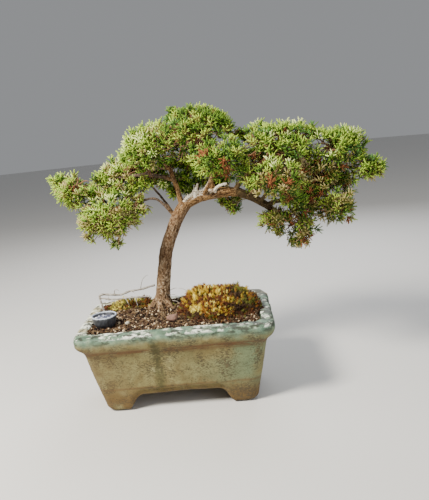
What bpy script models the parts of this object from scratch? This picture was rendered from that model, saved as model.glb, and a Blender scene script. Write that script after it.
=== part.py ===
"""A creeping juniper bonsai in its footed pot.

The trunk leans and forks, the main bough arches to the right, and the crown is a set of foliage
masses. Each mass is one solid of twigs and needle sprays that keeps to its own space. The model is
worked out from the middle of the pot's foot plane, and is moved at the end so that the middle of
the whole plant's box stands on the origin.
"""

import math
import random

import bmesh
import bpy
from mathutils import Matrix, Vector

MM = 0.001
GAP = 0.3 * MM

# Pot, outside sizes over the rim
POT_LENGTH = 232 * MM
POT_DEPTH = 152 * MM
POT_HEIGHT = 102 * MM
POT_CORNER = 11 * MM
# Height, and how far the wall stands in from the rim's edge there
POT_PROFILE = (
    (0, 29), (1.5, 26.5), (5, 24.4), (40, 17.2), (76, 9.8), (80.5, 7.8), (85, 3.2),
    (89, 0.6), (93, 0), (98, 0), (101, 2.2), (102, 6),
)
RIM_END_WIDTH = 14 * MM
RIM_SIDE_WIDTH = 18 * MM
FLOOR_TOP = 28 * MM
CAVITY_TAPER = 18 * MM
CAVITY_CORNER = 7 * MM
ARCH_HEIGHT = 19.6 * MM
ARCH_FRONT_HALF = 63 * MM
ARCH_END_HALF = 29 * MM
ARCH_SLOPE = 13 * MM
ARCH_ROUND = 6 * MM
# The lip round each opening: its height, its width at the sides, and how far in its flat face lies
LIP_HEIGHT = 8.5 * MM
LIP_SIDE = 1.5 * MM
LIP_SINK = 0.2 * MM
LIP_CUTTER = 20 * MM

# Soil, moss, stone and feed cup
SOIL_TOP = 101 * MM
SOIL_EDGE = 97.5 * MM
SOIL_SHOULDER = 6 * MM
# Shares of the shoulder's width and of its rise
SOIL_ROUNDING = ((0.45, 0.72), (1.0, 1.0))
MOSS_MOUNDS = (
    # name, centre x and y, half length, half depth, height, seed
    ("moss_mound", (54, 2), 46, 48, 24, 3),
    ("moss_patch", (-60, 36), 34, 13, 7, 5),
)
MOSS_TO_WALL = 1 * MM
MOSS_SINK = 0.1
MOSS_LOBE = 0.035
MOSS_LUMP = 0.06
STONE_PLACE = (-2, -34)
STONE_RADIUS = 7 * MM
STONE_RISE = 0.45
STONE_FLATNESS = 0.85
STONE_LUMP = 0.07
CUP_PLACE = (-83, -31)
CUP_HEIGHT = 11.5 * MM
CUP_FOOT = 10.5 * MM
CUP_RIM = 16 * MM
CUP_WALL = 1.3 * MM
CUP_FILL = 8.6 * MM
CUP_SIDES = 20
# The cup has this share of its flare at this share of its height
CUP_BELLY = (0.8, 0.5)

# Trunk and the limbs that show, as points in millimetres and radii in millimetres
TRUNK_POINTS = (
    (-20, 26, 99), (-19.4, 26, 107), (-16, 25, 130), (-11, 23, 156), (-6.5, 21, 176),
    (1.4, 19, 194.7), (9.8, 17, 212), (18, 16, 225), (24, 15.2, 232),
)
TRUNK_RADII = (11.4, 9.6, 8.5, 8.2, 7.9, 7.7, 7.7, 7.6, 7.2)
ROOTS = (
    # bearing in degrees, reach, half thickness
    (200, 21, 4.2), (262, 19, 3.8), (318, 20, 4.4), (28, 18, 3.8), (110, 18, 3.6),
)
ROOT_SHAPE = (
    # height over the trunk's foot, share of the reach, share of the half thickness
    (13, 0.12, 0.8), (3, 0.42, 1.0), (-5, 0.78, 0.8), (-9, 1.0, 0.5),
)
DRAWN_LIMBS = {
    "main_bough_inner": (
        ((25, 15, 233.2), (42, 13, 239.5), (59.5, 11, 242), (76, 10, 242.5), (90, 9, 240.5)),
        (7.0, 6.6, 6.2, 5.6, 5.2),
    ),
    "main_bough_outer": (
        ((91.5, 8.9, 239.8), (104.5, 8, 233.5), (116, 7, 226), (125, 6, 219)),
        (5.0, 4.7, 4.3, 3.7),
    ),
    "upper_left_bough": (
        ((19, 15.5, 226), (17, 13.5, 247), (13.2, 11.5, 262), (10, 10, 275), (5, 9, 283)),
        (3.8, 3.4, 3.1, 2.8, 2.5),
    ),
    "left_bough": (
        ((8, 17, 219), (-1.2, 14, 232), (-9, 12, 240.5), (-18, 10, 243), (-28, 7, 241)),
        (2.2, 1.8, 1.6, 1.5, 1.5),
    ),
    "dead_stub": (
        ((37, 10, 240), (38, 8.5, 247), (41, 8, 256)),
        (3.6, 2.2, 0.8),
    ),
    "dead_spur": (
        ((61, 6, 244), (63, 4, 249.5), (70, 3, 252.4), (76, 3, 253)),
        (2.0, 1.6, 1.5, 1.2),
    ),
}
DEAD_TWIG_RUNS = (
    # the long bare run with the leg that drops into the soil, then the lower run beside it
    ((-27, 27, 131), (-46, 27, 127), (-60, 26, 126), (-73, 26, 122.5), (-97, 26, 124.5),
     (-97.5, 24, 115), (-93.5, 20, 101.3)),
    ((-97.4, 25, 120.5), (-82, 21, 118.5), (-66, 20, 119), (-53, 20, 119), (-34, 22, 118)),
)
DEAD_TWIG_RADII = (1.3 * MM, 1.1 * MM)

# Foliage masses in millimetres: centre, half sizes, then the limb that feeds it: its parent, how
# far along the parent it leaves, its half thickness at both ends, and its rise on the way
MASSES = {
    "foliage_low_left": ((-66, -8, 228), (46, 40, 37), ("left_bough", 1.0)),
    "foliage_far_left": ((-105, 6, 262), (32, 32, 26), ("upper_left_bough", 0.62, 2.6, 1.6, 10)),
    "foliage_left_shoulder": ((-47, 22, 271), (46, 36, 32), ("upper_left_bough", 0.86, 2.2, 1.5, 6)),
    "foliage_upper_left": ((-9, -2, 304), (40, 42, 35), ("upper_left_bough", 1.0)),
    "foliage_apex": ((46, 2, 317), (52, 45, 38), ("main_bough_inner", 0.48, 3.2, 2.0, 2)),
    "foliage_back_apex": ((26, 64, 302), (50, 36, 36), ("main_bough_inner", 0.2, 3.0, 1.8, -8)),
    "foliage_inner_left": ((12, 36, 262), (32, 28, 26), ("upper_left_bough", 0.4, 1.8, 1.3, 0)),
    "foliage_centre": ((56, 36, 268), (40, 30, 26), ("main_bough_inner", 0.6, 2.4, 1.6, -3)),
    "foliage_front_centre": ((72, -44, 286), (36, 28, 27), ("main_bough_inner", 0.34, 2.8, 1.7, -4)),
    "foliage_right_top": ((134, 0, 291), (57, 44, 37), ("main_bough_inner", 0.9, 3.2, 2.0, 2)),
    "foliage_right_back": ((128, 60, 266), (54, 36, 36), ("main_bough_outer", 0.36, 2.8, 1.7, 4)),
    "foliage_front_right": ((122, -44, 256), (42, 32, 28), ("main_bough_outer", 0.6, 2.6, 1.6, 3)),
    "foliage_low_inner": ((132, -4, 208), (28, 26, 20), ("main_bough_outer", 1.0)),
    "foliage_right_middle": ((187, 14, 246), (47, 38, 33), ("right_limb", 0.45, 2.0, 1.5, 0)),
    "foliage_right_outer": ((205, 6, 278), (41, 40, 37), ("right_limb", 0.72, 2.2, 1.5, 2)),
    "foliage_far_right": ((241, 1, 257), (26, 24, 21), ("right_limb", 1.0)),
    "foliage_right_low": ((197, -8, 219), (31, 34, 28), ("low_limb", 1.0)),
    "foliage_hanging": ((160, 0, 196), (22, 24, 30), ("low_limb", 0.42, 1.9, 1.4, -2)),
    "foliage_sprig": ((79, 32, 222), (15, 16, 17), ("main_bough_inner", 0.7, 1.4, 1.0, 0)),
    "foliage_back_left": ((-36, 62, 275), (44, 30, 32), ("trunk", 0.84, 2.8, 1.7, 0)),
}
# Limbs that carry several masses: parent, how far along it, end point, both half thicknesses, rise
CARRIERS = {
    "right_limb": ("main_bough_outer", 0.2, (232, 1, 256.5), 3.8, 1.8, 9),
    "low_limb": ("main_bough_outer", 0.86, (174, -2, 216), 3.0, 2.0, 3),
}
# A limb ends at this share of the way from its mass's heart to the edge, or further in
ENTRY_SHARE = 0.6
ENTRY_STEP = 0.9
# A limb slants on along its parent, or back along it if its end lies further back than the limit
SIDE_SLANT = 0.5
BACK_LIMIT = -0.2
BEND_SHARE = 0.42
LIMB_STEP = 15 * MM
LIMB_LEAST = 9 * MM
THICK_LIMB = 4 * MM
GROWN = 1.03

# A mass's stem: the shares of its way at which it is straight, bends, and ends past the heart
STEM_STRAIGHT = 0.12
STEM_BEND = (0.3, 0.15)
STEM_PAST_HEART = 0.3
STEM_TAPER = (0.85, 0.81, 0.68, 0.51, 0.34)
CORE_SHARE = 0.7
CORE_LUMP = 0.15
CORE_LEAST = 24 * MM

# Twigs, which end in a spray, and the whorls of sprays on them
TWIG_RADIUS = 1.7 * MM
TWIG_TIP_RADIUS = 1.2 * MM
# Twigs for each square millimetre of the mass's mean size squared
TWIG_SPACING = 0.01
TWIGS_LEAST = 9
TWIG_REACHES = (1.0, 0.9, 0.8, 0.7)
TWIG_SPREAD = (0.95, 1.02)
TWIG_SETBACK = 0.15
TWIG_LEAST = 0.6
NECK_LEAST = 0.3
SPRAY_LENGTH = 25 * MM
SPRAY_HALF_WIDTH = 8.5 * MM
# Sprays have their full size in a mass of this mean size, less a part that doesn't shrink
FULL_SIZE_MASS = 45 * MM
SIZE_LEAST = 0.35
SPRAY_WAIST = 0.5
SPRAY_SHOULDER = 0.2
SPRAY_FLARE = 1.15
SPRAY_NOTCH = (0.8, 0.7)
SPRAY_RAGGED = 0.1
SPRAY_SHRINKS = (1.0, 0.8, 0.62)
CROWDING = 0.85
WHORL_STEM = 3.4 * MM
WHORL_STEPS = (2.2 * MM, 17 * MM)
WHORL_LOWEST = 0.7 * MM
WHORL_ANGLE = math.radians(60)
NEIGHBOUR_GAP = 0.8 * MM
SPACE_LIMIT = 1.06
LIMB_GAP = 0.5 * MM

COLOURS = {
    # base colour, roughness
    "stoneware": ((0.56, 0.55, 0.38), 0.75),
    "soil": ((0.16, 0.09, 0.05), 0.95),
    "moss": ((0.45, 0.28, 0.05), 0.95),
    "stone": ((0.30, 0.19, 0.15), 0.8),
    "cup": ((0.09, 0.10, 0.12), 0.4),
    "cup_fill": ((0.05, 0.05, 0.07), 0.2),
    "bark": ((0.30, 0.20, 0.13), 0.9),
    "dead_wood": ((0.62, 0.56, 0.48), 0.85),
    "needles": ((0.24, 0.34, 0.09), 0.7),
}


def mm(values):
    """A point given in millimetres, in metres."""
    return Vector(values) * MM


def material(name):
    """The named surface, made once."""
    found = bpy.data.materials.get(name)
    if found:
        return found
    colour, roughness = COLOURS[name]
    made = bpy.data.materials.new(name)
    made.use_nodes = True
    shader = made.node_tree.nodes["Principled BSDF"]
    shader.inputs["Base Color"].default_value = (*colour, 1)
    shader.inputs["Roughness"].default_value = roughness
    made.diffuse_color = (*colour, 1)
    return made


def new_object(name, mesh, surface, collection):
    """An object of this mesh, in the collection, with its surface."""
    obj = bpy.data.objects.new(name, mesh)
    collection.objects.link(obj)
    if surface:
        mesh.materials.clear()
        mesh.materials.append(material(surface))
    return obj


def from_bmesh(name, bm, surface, collection):
    """An object made from a bmesh, which is freed."""
    bmesh.ops.recalc_face_normals(bm, faces=bm.faces)
    mesh = bpy.data.meshes.new(name)
    bm.to_mesh(mesh)
    bm.free()
    return new_object(name, mesh, surface, collection)


def remove(objects):
    """Removes these objects from the file."""
    for obj in list(objects):
        bpy.data.objects.remove(obj)


def cut(obj, tool, operation="DIFFERENCE", solver="EXACT"):
    """Applies one Boolean to the object, with an object or a collection as its tool."""
    modifier = obj.modifiers.new("cut", "BOOLEAN")
    modifier.operation = operation
    modifier.solver = solver
    if isinstance(tool, bpy.types.Collection):
        modifier.operand_type = "COLLECTION"
        modifier.collection = tool
    else:
        modifier.object = tool
    graph = bpy.context.evaluated_depsgraph_get()
    mesh = bpy.data.meshes.new_from_object(obj.evaluated_get(graph))
    obj.modifiers.remove(modifier)
    obj.data = mesh


def smooth_path(points, steps):
    """Points along a smooth curve through the given ones, with this many steps for each span."""
    ends = [points[0] * 2 - points[1], *points, points[-1] * 2 - points[-2]]
    path = []
    for a, b, c, d in zip(ends, ends[1:], ends[2:], ends[3:]):
        for i in range(steps):
            t = i / steps
            path.append(
                0.5 * (2 * b + (c - a) * t + (2 * a - 5 * b + 4 * c - d) * t**2
                       + (3 * b - a - 3 * c + d) * t**3)
            )
    return [*path, points[-1]]


def smooth_radii(radii, steps):
    """Radii that go with smooth_path's points."""
    found = []
    for a, b in zip(radii, radii[1:]):
        found += [a + (b - a) * i / steps for i in range(steps)]
    return [*found, radii[-1]]


def tube(name, path, radii, surface, collection, resolution=2):
    """A tapering round limb along the path, as a closed mesh."""
    curve = bpy.data.curves.new(name, "CURVE")
    curve.dimensions = "3D"
    curve.bevel_depth = 1
    curve.bevel_resolution = resolution
    curve.use_fill_caps = True
    spline = curve.splines.new("POLY")
    spline.points.add(len(path) - 1)
    for point, place, radius in zip(spline.points, path, radii):
        point.co = (*place, 1)
        point.radius = radius
    guide = bpy.data.objects.new(name + "_line", curve)
    collection.objects.link(guide)
    graph = bpy.context.evaluated_depsgraph_get()
    mesh = bpy.data.meshes.new_from_object(guide.evaluated_get(graph))
    remove([guide])
    bm = bmesh.new()
    bm.from_mesh(mesh)
    bmesh.ops.remove_doubles(bm, verts=bm.verts, dist=1e-6)
    return from_bmesh(name, bm, surface, collection)


def extrude_up(bm, face, scale, rise, keep):
    """Extrudes a face upwards and scales it. The old face stays only as the bottom of the shape."""
    made = bmesh.ops.extrude_face_region(bm, geom=[face])
    if not keep:
        bmesh.ops.delete(bm, geom=[face], context="FACES_ONLY")
    face = next(g for g in made["geom"] if isinstance(g, bmesh.types.BMFace))
    bmesh.ops.scale(bm, vec=scale, verts=face.verts)
    bmesh.ops.translate(bm, vec=(0, 0, rise), verts=face.verts)
    return face


def stack(name, rings, corner, surface, collection):
    """A rounded rectangle raised through rings of (height, half length, half depth)."""
    bm = bmesh.new()
    bmesh.ops.create_grid(bm, x_segments=1, y_segments=1, size=1)
    height, half_length, half_depth = rings[0]
    bmesh.ops.scale(bm, vec=(half_length, half_depth, 1), verts=bm.verts)
    bmesh.ops.translate(bm, vec=(0, 0, height), verts=bm.verts)
    bmesh.ops.bevel(
        bm, geom=bm.verts[:], offset=corner, segments=4, profile=0.5, affect="VERTICES", material=-1
    )
    face = bm.faces[:][0]
    for i, (z, x, y) in enumerate(rings[1:]):
        face = extrude_up(bm, face, (x / half_length, y / half_depth, 1), z - height, keep=i == 0)
        height, half_length, half_depth = z, x, y
    return from_bmesh(name, bm, surface, collection)


def arch(name, half, height, slope, length, collection):
    """A cutter for the opening between two feet: a trapezium with round top corners, run along Y."""
    bm = bmesh.new()
    bmesh.ops.create_cube(bm, size=1)
    bmesh.ops.scale(bm, vec=(2 * half, length, height + 2 * MM), verts=bm.verts)
    bmesh.ops.translate(bm, vec=(0, 0, height / 2 - MM), verts=bm.verts)
    top = [v for v in bm.verts if v.co.z > 0]
    for v in top:
        v.co.x -= math.copysign(slope, v.co.x)
    edges = []
    for e in bm.edges:
        one, other = e.verts
        if one in top and other in top and abs(one.co.x - other.co.x) < MM:
            edges.append(e)
    bmesh.ops.bevel(
        bm, geom=edges, offset=ARCH_ROUND, segments=4, profile=0.5, affect="EDGES", material=-1
    )
    return from_bmesh(name, bm, None, collection)


def pot_rings():
    """The pot's outside, from the feet to the rim."""
    return [
        (z * MM, POT_LENGTH / 2 - inset * MM, POT_DEPTH / 2 - inset * MM) for z, inset in POT_PROFILE
    ]


def cavity_at(z, clearance=0.0):
    """Half length and half depth of the pot's inside at this height."""
    share = (POT_HEIGHT - z) / (POT_HEIGHT - FLOOR_TOP)
    inset = CAVITY_TAPER * share + clearance
    return POT_LENGTH / 2 - RIM_END_WIDTH - inset, POT_DEPTH / 2 - RIM_SIDE_WIDTH - inset


def make_pot(collection, tools):
    """The pot: a flared shell with a rolled rim, on four feet that arched openings part."""
    pot = stack("pot", pot_rings(), POT_CORNER, "stoneware", collection)
    top = POT_HEIGHT + 2 * MM
    rings = [(FLOOR_TOP, *cavity_at(FLOOR_TOP)), (top, *cavity_at(top))]
    cutters = [stack("pot_cavity", rings, CAVITY_CORNER, None, tools)]
    for turn, half in ((0, ARCH_FRONT_HALF), (90, ARCH_END_HALF)):
        opening = arch(f"pot_arch_{turn}", half, ARCH_HEIGHT, ARCH_SLOPE, 2 * POT_LENGTH, tools)
        opening.rotation_euler.z = math.radians(turn)
        cutters.append(opening)
    wall = POT_PROFILE[2][1] * MM
    for side in (-1, 1):
        # The sunk lip round each opening, on the long sides and then on the ends
        for turn, half, out in (
            (0, ARCH_FRONT_HALF, POT_DEPTH / 2 - wall),
            (90, ARCH_END_HALF, POT_LENGTH / 2 - wall),
        ):
            lip = arch(
                f"pot_lip_{turn}_{side}", half + LIP_SIDE, ARCH_HEIGHT + LIP_HEIGHT,
                ARCH_SLOPE + MM, LIP_CUTTER, tools,
            )
            reach = side * (out + LIP_CUTTER / 2 - LIP_SINK)
            angle = math.radians(turn)
            lip.location = (-math.sin(angle) * reach, math.cos(angle) * reach, 0)
            lip.rotation_euler.z = angle
            cutters.append(lip)
    bpy.context.view_layer.update()
    for tool in cutters:
        cut(pot, tool)
    remove(cutters)
    return pot


def make_soil(collection):
    """The soil that fills the pot, with a flat top just under the rim."""
    bottom = FLOOR_TOP + GAP
    rings = [(bottom, *cavity_at(bottom, GAP)), (SOIL_EDGE, *cavity_at(SOIL_EDGE, GAP))]
    half_length, half_depth = cavity_at(SOIL_EDGE, GAP)
    for share, rise in SOIL_ROUNDING:
        rings.append((
            SOIL_EDGE + (SOIL_TOP - SOIL_EDGE) * rise,
            half_length - SOIL_SHOULDER * share,
            half_depth - SOIL_SHOULDER * share,
        ))
    return stack("soil", rings, CAVITY_CORNER, "soil", collection)


def make_mound(name, centre, half_length, half_depth, height, seed, collection):
    """A lumpy cushion of moss with a flat foot."""
    rng = random.Random(seed)
    phases = [rng.uniform(0, 2 * math.pi) for _ in range(4)]
    bm = bmesh.new()
    bmesh.ops.create_uvsphere(bm, u_segments=20, v_segments=12, radius=1)
    for v in bm.verts:
        bearing = math.atan2(v.co.y, v.co.x)
        lump = MOSS_LOBE * sum(math.sin((k + 2) * bearing + p) for k, p in enumerate(phases))
        lump += MOSS_LUMP * math.sin(5 * v.co.x + phases[0]) * math.sin(4 * v.co.y + phases[1])
        v.co *= 1 + lump
        v.co.x *= half_length * MM
        v.co.y *= half_depth * MM
        v.co.z *= height * MM
    place = Vector((centre[0] * MM, centre[1] * MM, SOIL_TOP - MOSS_SINK * height * MM))
    bmesh.ops.translate(bm, vec=place, verts=bm.verts)
    wall_x, wall_y = cavity_at(SOIL_TOP, MOSS_TO_WALL)
    for v in bm.verts:
        # The cushion stops where it meets the pot's wall
        v.co.x = max(-wall_x, min(wall_x, v.co.x))
        v.co.y = max(-wall_y, min(wall_y, v.co.y))
    flat_foot(bm)
    return from_bmesh(name, bm, "moss", collection)


def cut_flat(bm, place, way):
    """Cuts a closed bmesh flat at this place, keeps what lies along the way, and closes the cut."""
    made = bmesh.ops.bisect_plane(
        bm, geom=[*bm.verts, *bm.edges, *bm.faces], plane_co=place, plane_no=way, clear_inner=True
    )
    edges = [g for g in made["geom_cut"] if isinstance(g, bmesh.types.BMEdge)]
    if edges:
        bmesh.ops.contextual_create(bm, geom=edges)


def flat_foot(bm):
    """Cuts a closed bmesh flat where it stands on the soil."""
    cut_flat(bm, (0, 0, SOIL_TOP + GAP), (0, 0, 1))


def make_stone(collection):
    """The one larger stone on the soil."""
    rng = random.Random(11)
    bm = bmesh.new()
    bmesh.ops.create_icosphere(bm, subdivisions=2, radius=STONE_RADIUS)
    for v in bm.verts:
        v.co *= 1 + rng.uniform(-STONE_LUMP, STONE_LUMP)
        v.co.z *= STONE_FLATNESS
    place = (STONE_PLACE[0] * MM, STONE_PLACE[1] * MM, SOIL_TOP + STONE_RISE * STONE_RADIUS)
    bmesh.ops.translate(bm, vec=place, verts=bm.verts)
    flat_foot(bm)
    return from_bmesh("stone", bm, "stone", collection)


def make_cup(collection):
    """The small feed cup, turned from its wall's outline, and what fills it."""
    # The outline runs down the outside, across the foot, and up the inside
    inside = CUP_FOOT - CUP_WALL
    belly_out = CUP_BELLY[0] * (CUP_RIM - CUP_FOOT)
    belly_height = CUP_BELLY[1] * CUP_HEIGHT
    outline = (
        (CUP_RIM, CUP_HEIGHT), (CUP_FOOT + belly_out, belly_height),
        (CUP_FOOT, 0), (0, 0), (0, CUP_WALL), (inside, CUP_WALL),
        (inside + belly_out, belly_height), (CUP_RIM - CUP_WALL, CUP_HEIGHT),
    )
    foot = Vector((CUP_PLACE[0] * MM, CUP_PLACE[1] * MM, SOIL_TOP + GAP))
    bm = bmesh.new()
    corners = [bm.verts.new((x, 0, z)) for x, z in outline]
    for a, b in zip(corners, corners[1:] + corners[:1]):
        bm.edges.new((a, b))
    mesh = bpy.data.meshes.new("feed_cup")
    bm.to_mesh(mesh)
    bm.free()
    cup = new_object("feed_cup", mesh, "cup", collection)
    cup.location = foot
    screw = cup.modifiers.new("turn", "SCREW")
    screw.steps = screw.render_steps = CUP_SIDES
    screw.use_merge_vertices = True
    screw.merge_threshold = 1e-5
    low = CUP_WALL + GAP
    bm = bmesh.new()
    bmesh.ops.create_cone(
        bm, cap_ends=True, segments=CUP_SIDES, radius1=inside - GAP,
        radius2=inside + belly_out - GAP, depth=belly_height - low,
    )
    bmesh.ops.translate(bm, vec=(0, 0, (belly_height + low) / 2), verts=bm.verts)
    top = max(bm.faces, key=lambda f: f.calc_center_median().z)
    extrude_up(bm, top, (1, 1, 1), CUP_FILL - belly_height, keep=False)
    bmesh.ops.translate(bm, vec=foot, verts=bm.verts)
    return [cup, from_bmesh("cup_fill", bm, "cup_fill", collection)]


def make_trunk(collection, tools):
    """The trunk with its flaring roots, cut flat where it stands on the soil."""
    path = smooth_path([mm(p) for p in TRUNK_POINTS], 2)
    radii = [r * MM for r in smooth_radii(TRUNK_RADII, 2)]
    trunk = tube("trunk", path, radii, "bark", collection, resolution=3)
    foot = mm(TRUNK_POINTS[1])
    roots = []
    for bearing, reach, thick in ROOTS:
        angle = math.radians(bearing)
        out = mm((math.cos(angle), math.sin(angle), 0)) * reach
        line = [foot + mm((0, 0, height)) + out * share for height, share, _ in ROOT_SHAPE]
        radii_out = [thick * share * MM for _, _, share in ROOT_SHAPE]
        roots.append(tube(f"root_{bearing}", line, radii_out, None, tools, 1))
    for root in roots:
        cut(trunk, root, "UNION")
    remove(roots)
    bm = bmesh.new()
    bm.from_mesh(trunk.data)
    flat_foot(bm)
    bmesh.ops.recalc_face_normals(bm, faces=bm.faces)
    bm.to_mesh(trunk.data)
    bm.free()
    return path, radii


def path_at(path, radii, share):
    """Place, direction and radius at a share of the way along a limb."""
    lengths = [(b - a).length for a, b in zip(path, path[1:])]
    left = share * sum(lengths)
    for i, length in enumerate(lengths):
        if left <= length or i == len(lengths) - 1:
            t = min(1.0, left / length)
            step = path[i + 1] - path[i]
            return path[i] + step * t, step.normalized(), radii[i] + (radii[i + 1] - radii[i]) * t
        left -= length
    return path[-1], (path[-1] - path[-2]).normalized(), radii[-1]


def bent_limb(parent, share, end, start_radius, end_radius, rise):
    """The line of a limb that leaves its parent's side, slants along it, and bends to its end."""
    place, along, _ = path_at(*parent, share)
    way = (end - place).normalized()
    side = (way - along * way.dot(along)).normalized()
    slant = math.copysign(SIDE_SLANT, way.dot(along) - BACK_LIMIT)
    first = (side + along * slant).normalized()
    length = (end - place).length
    bend = place + first * BEND_SHARE * length + mm((0, 0, rise))
    count = max(4, round(length / LIMB_STEP))
    path, taper = [], []
    for i in range(count + 1):
        t = i / count
        path.append(place * (1 - t) ** 2 + bend * 2 * t * (1 - t) + end * t**2)
        taper.append((start_radius + (end_radius - start_radius) * t) * MM)
    return path, taper


def limb_lines(trunk):
    """Every limb's line and radii by name, in growing order, each worked out from its parent."""
    lines = {"trunk": trunk}
    for name, (points, radii) in DRAWN_LIMBS.items():
        path = smooth_path([mm(p) for p in points], 2)
        lines[name] = (path, [r * MM for r in smooth_radii(radii, 2)])
    for name, (parent, share, end, start_radius, end_radius, rise) in CARRIERS.items():
        lines[name] = bent_limb(lines[parent], share, mm(end), start_radius, end_radius, rise)
    for name, (centre, half, feed) in MASSES.items():
        if feed[1] == 1.0:
            continue
        parent, share, start_radius, end_radius, rise = feed
        place, _, thick = path_at(*lines[parent], share)
        middle, sizes = mm(centre), mm(half)
        back = place - middle
        depth = math.sqrt(sum((back[k] / sizes[k]) ** 2 for k in range(3)))
        # The limb ends well inside its mass's space, and at least LIMB_LEAST clear of its parent
        entry = min(ENTRY_SHARE / depth, 1 - (thick + LIMB_LEAST) / back.length)
        while not within_borders(name, middle + back * entry, start_radius * MM):
            entry *= ENTRY_STEP
        end = middle + back * entry
        limb = name.replace("foliage", "limb")
        lines[limb] = bent_limb(lines[parent], share, end, start_radius, end_radius, rise)
    return lines


def limbs_touch(one, other):
    """Whether two limbs come closer than the gap that they keep."""
    for a, b, r, s in zip(one[0], one[0][1:], one[1], one[1][1:]):
        for c, d, t, u in zip(other[0], other[0][1:], other[1], other[1][1:]):
            if segment_gap(a, b, c, d) < max(r, s) + max(t, u) + 2 * GAP:
                return True
    return False


def limb_space(line, tools):
    """A cutter that is a limb grown by the gap, also at its ends."""
    path, radii = line
    first = path[0] + (path[0] - path[1]).normalized() * GAP
    last = path[-1] + (path[-1] - path[-2]).normalized() * GAP
    grown = [r * GROWN + GAP for r in radii]
    return tube("limb_space", [first, *path[1:-1], last], grown, None, tools, 3)


def make_limbs(lines, collection, tools):
    """The boughs and limbs. Each is cut clear of those before it that it grows from or meets."""
    names = list(lines)
    for i, name in enumerate(names[1:], 1):
        path, radii = lines[name]
        surface = "dead_wood" if name.startswith("dead") else "bark"
        limb = tube(name, path, radii, surface, collection, 2 if radii[0] > THICK_LIMB else 1)
        for other in names[:i]:
            if limbs_touch(lines[name], lines[other]):
                tool = limb_space(lines[other], tools)
                cut(limb, tool)
                remove([tool])
        keep_outer_body(limb)


def keep_outer_body(obj):
    """Keeps the largest closed body of a mesh, so that no scrap or sealed hollow is left."""
    bm = bmesh.new()
    bm.from_mesh(obj.data)
    left, bodies = set(bm.verts), []
    while left:
        body, edge = set(), [left.pop()]
        while edge:
            v = edge.pop()
            body.add(v)
            for e in v.link_edges:
                other = e.other_vert(v)
                if other in left:
                    left.remove(other)
                    edge.append(other)
        bodies.append(body)

    def spread(body):
        return sum(max(v.co[k] for v in body) - min(v.co[k] for v in body) for k in range(3))

    best = max(bodies, key=spread)
    loose = [v for body in bodies if body is not best for v in body]
    bmesh.ops.delete(bm, geom=loose, context="VERTS")
    bm.to_mesh(obj.data)
    bm.free()


def segment_gap(a, b, c, d):
    """The shortest distance between segment a-b and segment c-d."""
    u, v, w = b - a, d - c, a - c
    uu, uv, vv, uw, vw = u.dot(u), u.dot(v), v.dot(v), u.dot(w), v.dot(w)
    flat = uu * vv - uv * uv
    s = 0.0 if flat < 1e-18 else min(1.0, max(0.0, (uv * vw - vv * uw) / flat))
    t = (uv * s + vw) / vv
    if t < 0:
        t, s = 0.0, min(1.0, max(0.0, -uw / uu))
    elif t > 1:
        t, s = 1.0, min(1.0, max(0.0, (uv - uw) / uu))
    return (w + u * s - v * t).length


def borders(name):
    """The flat borders to this mass's neighbours: how far from its centre, and which way."""
    centre = mm(MASSES[name][0])
    own = mean_size(name) ** 2
    for other, (place, _, _) in MASSES.items():
        if other != name:
            step = mm(place) - centre
            distance = (step.length_squared + own - mean_size(other) ** 2) / (2 * step.length)
            yield distance - NEIGHBOUR_GAP, step.normalized()


def in_space(name, points, radius):
    """Whether a piece keeps to this mass's space: its rounded box, and its side of each border."""
    centre, half = mm(MASSES[name][0]), mm(MASSES[name][1])
    for p in points:
        if sum(((p[k] - centre[k]) / half[k]) ** 2 for k in range(3)) > SPACE_LIMIT:
            return False
    return all(within_borders(name, p, radius) for p in points)


def within_borders(name, point, radius):
    """Whether a ball at this point keeps to this mass's side of every border."""
    out = point - mm(MASSES[name][0])
    return all(out.dot(way) < distance - radius for distance, way in borders(name))


def clear_of_limbs(a, b, radius, lines):
    """Whether a piece from a to b keeps off every limb."""
    for path, radii in lines.values():
        for c, d, r, s in zip(path, path[1:], radii, radii[1:]):
            if segment_gap(a, b, c, d) < max(r, s) + radius + LIMB_GAP:
                return False
    return True


def spread_directions(count, rng):
    """Evenly spread directions over a sphere, from a golden-angle spiral."""
    turn = rng.uniform(0, 2 * math.pi)
    for i in range(count):
        z = 1 - 2 * (i + 0.5) / count
        angle = turn + i * math.pi * (3 - math.sqrt(5))
        flat = math.sqrt(1 - z * z)
        yield Vector((flat * math.cos(angle), flat * math.sin(angle), z))


def mean_size(name):
    """The radius of the ball that holds as much as this mass."""
    half = mm(MASSES[name][1])
    return (half.x * half.y * half.z) ** (1 / 3)


def mass_spine(name, lines):
    """The stem of a mass, from its limb's end through its heart, and the limb's radius there."""
    centre, _, feed = MASSES[name]
    centre = mm(centre)
    path, radii = lines[feed[0] if feed[1] == 1.0 else name.replace("foliage", "limb")]
    onward = (path[-1] - path[-2]).normalized()
    entry = path[-1] + onward * GAP
    across = centre - entry
    straight = entry + onward * STEM_STRAIGHT * across.length
    bend = entry + onward * STEM_BEND[0] * across.length + across * STEM_BEND[1]
    return [entry, straight, bend, centre, centre + across * STEM_PAST_HEART], radii[-1]


def spray_fits(name, root, tip, wide, lines, taken):
    """Whether a spray keeps to its mass's space, off the limbs and clear of the sprays there."""
    waist = root.lerp(tip, SPRAY_WAIST)
    shoulders = (waist.lerp(root, SPRAY_SHOULDER), waist.lerp(tip, SPRAY_SHOULDER))
    return (
        in_space(name, (root, tip), 0)
        and in_space(name, shoulders, wide * SPRAY_FLARE)
        and clear_of_limbs(root, tip, wide * SPRAY_FLARE, lines)
        and all(segment_gap(waist, tip, a, b) > CROWDING * (wide + r) / 2 for a, b, r in taken)
    )


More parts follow.
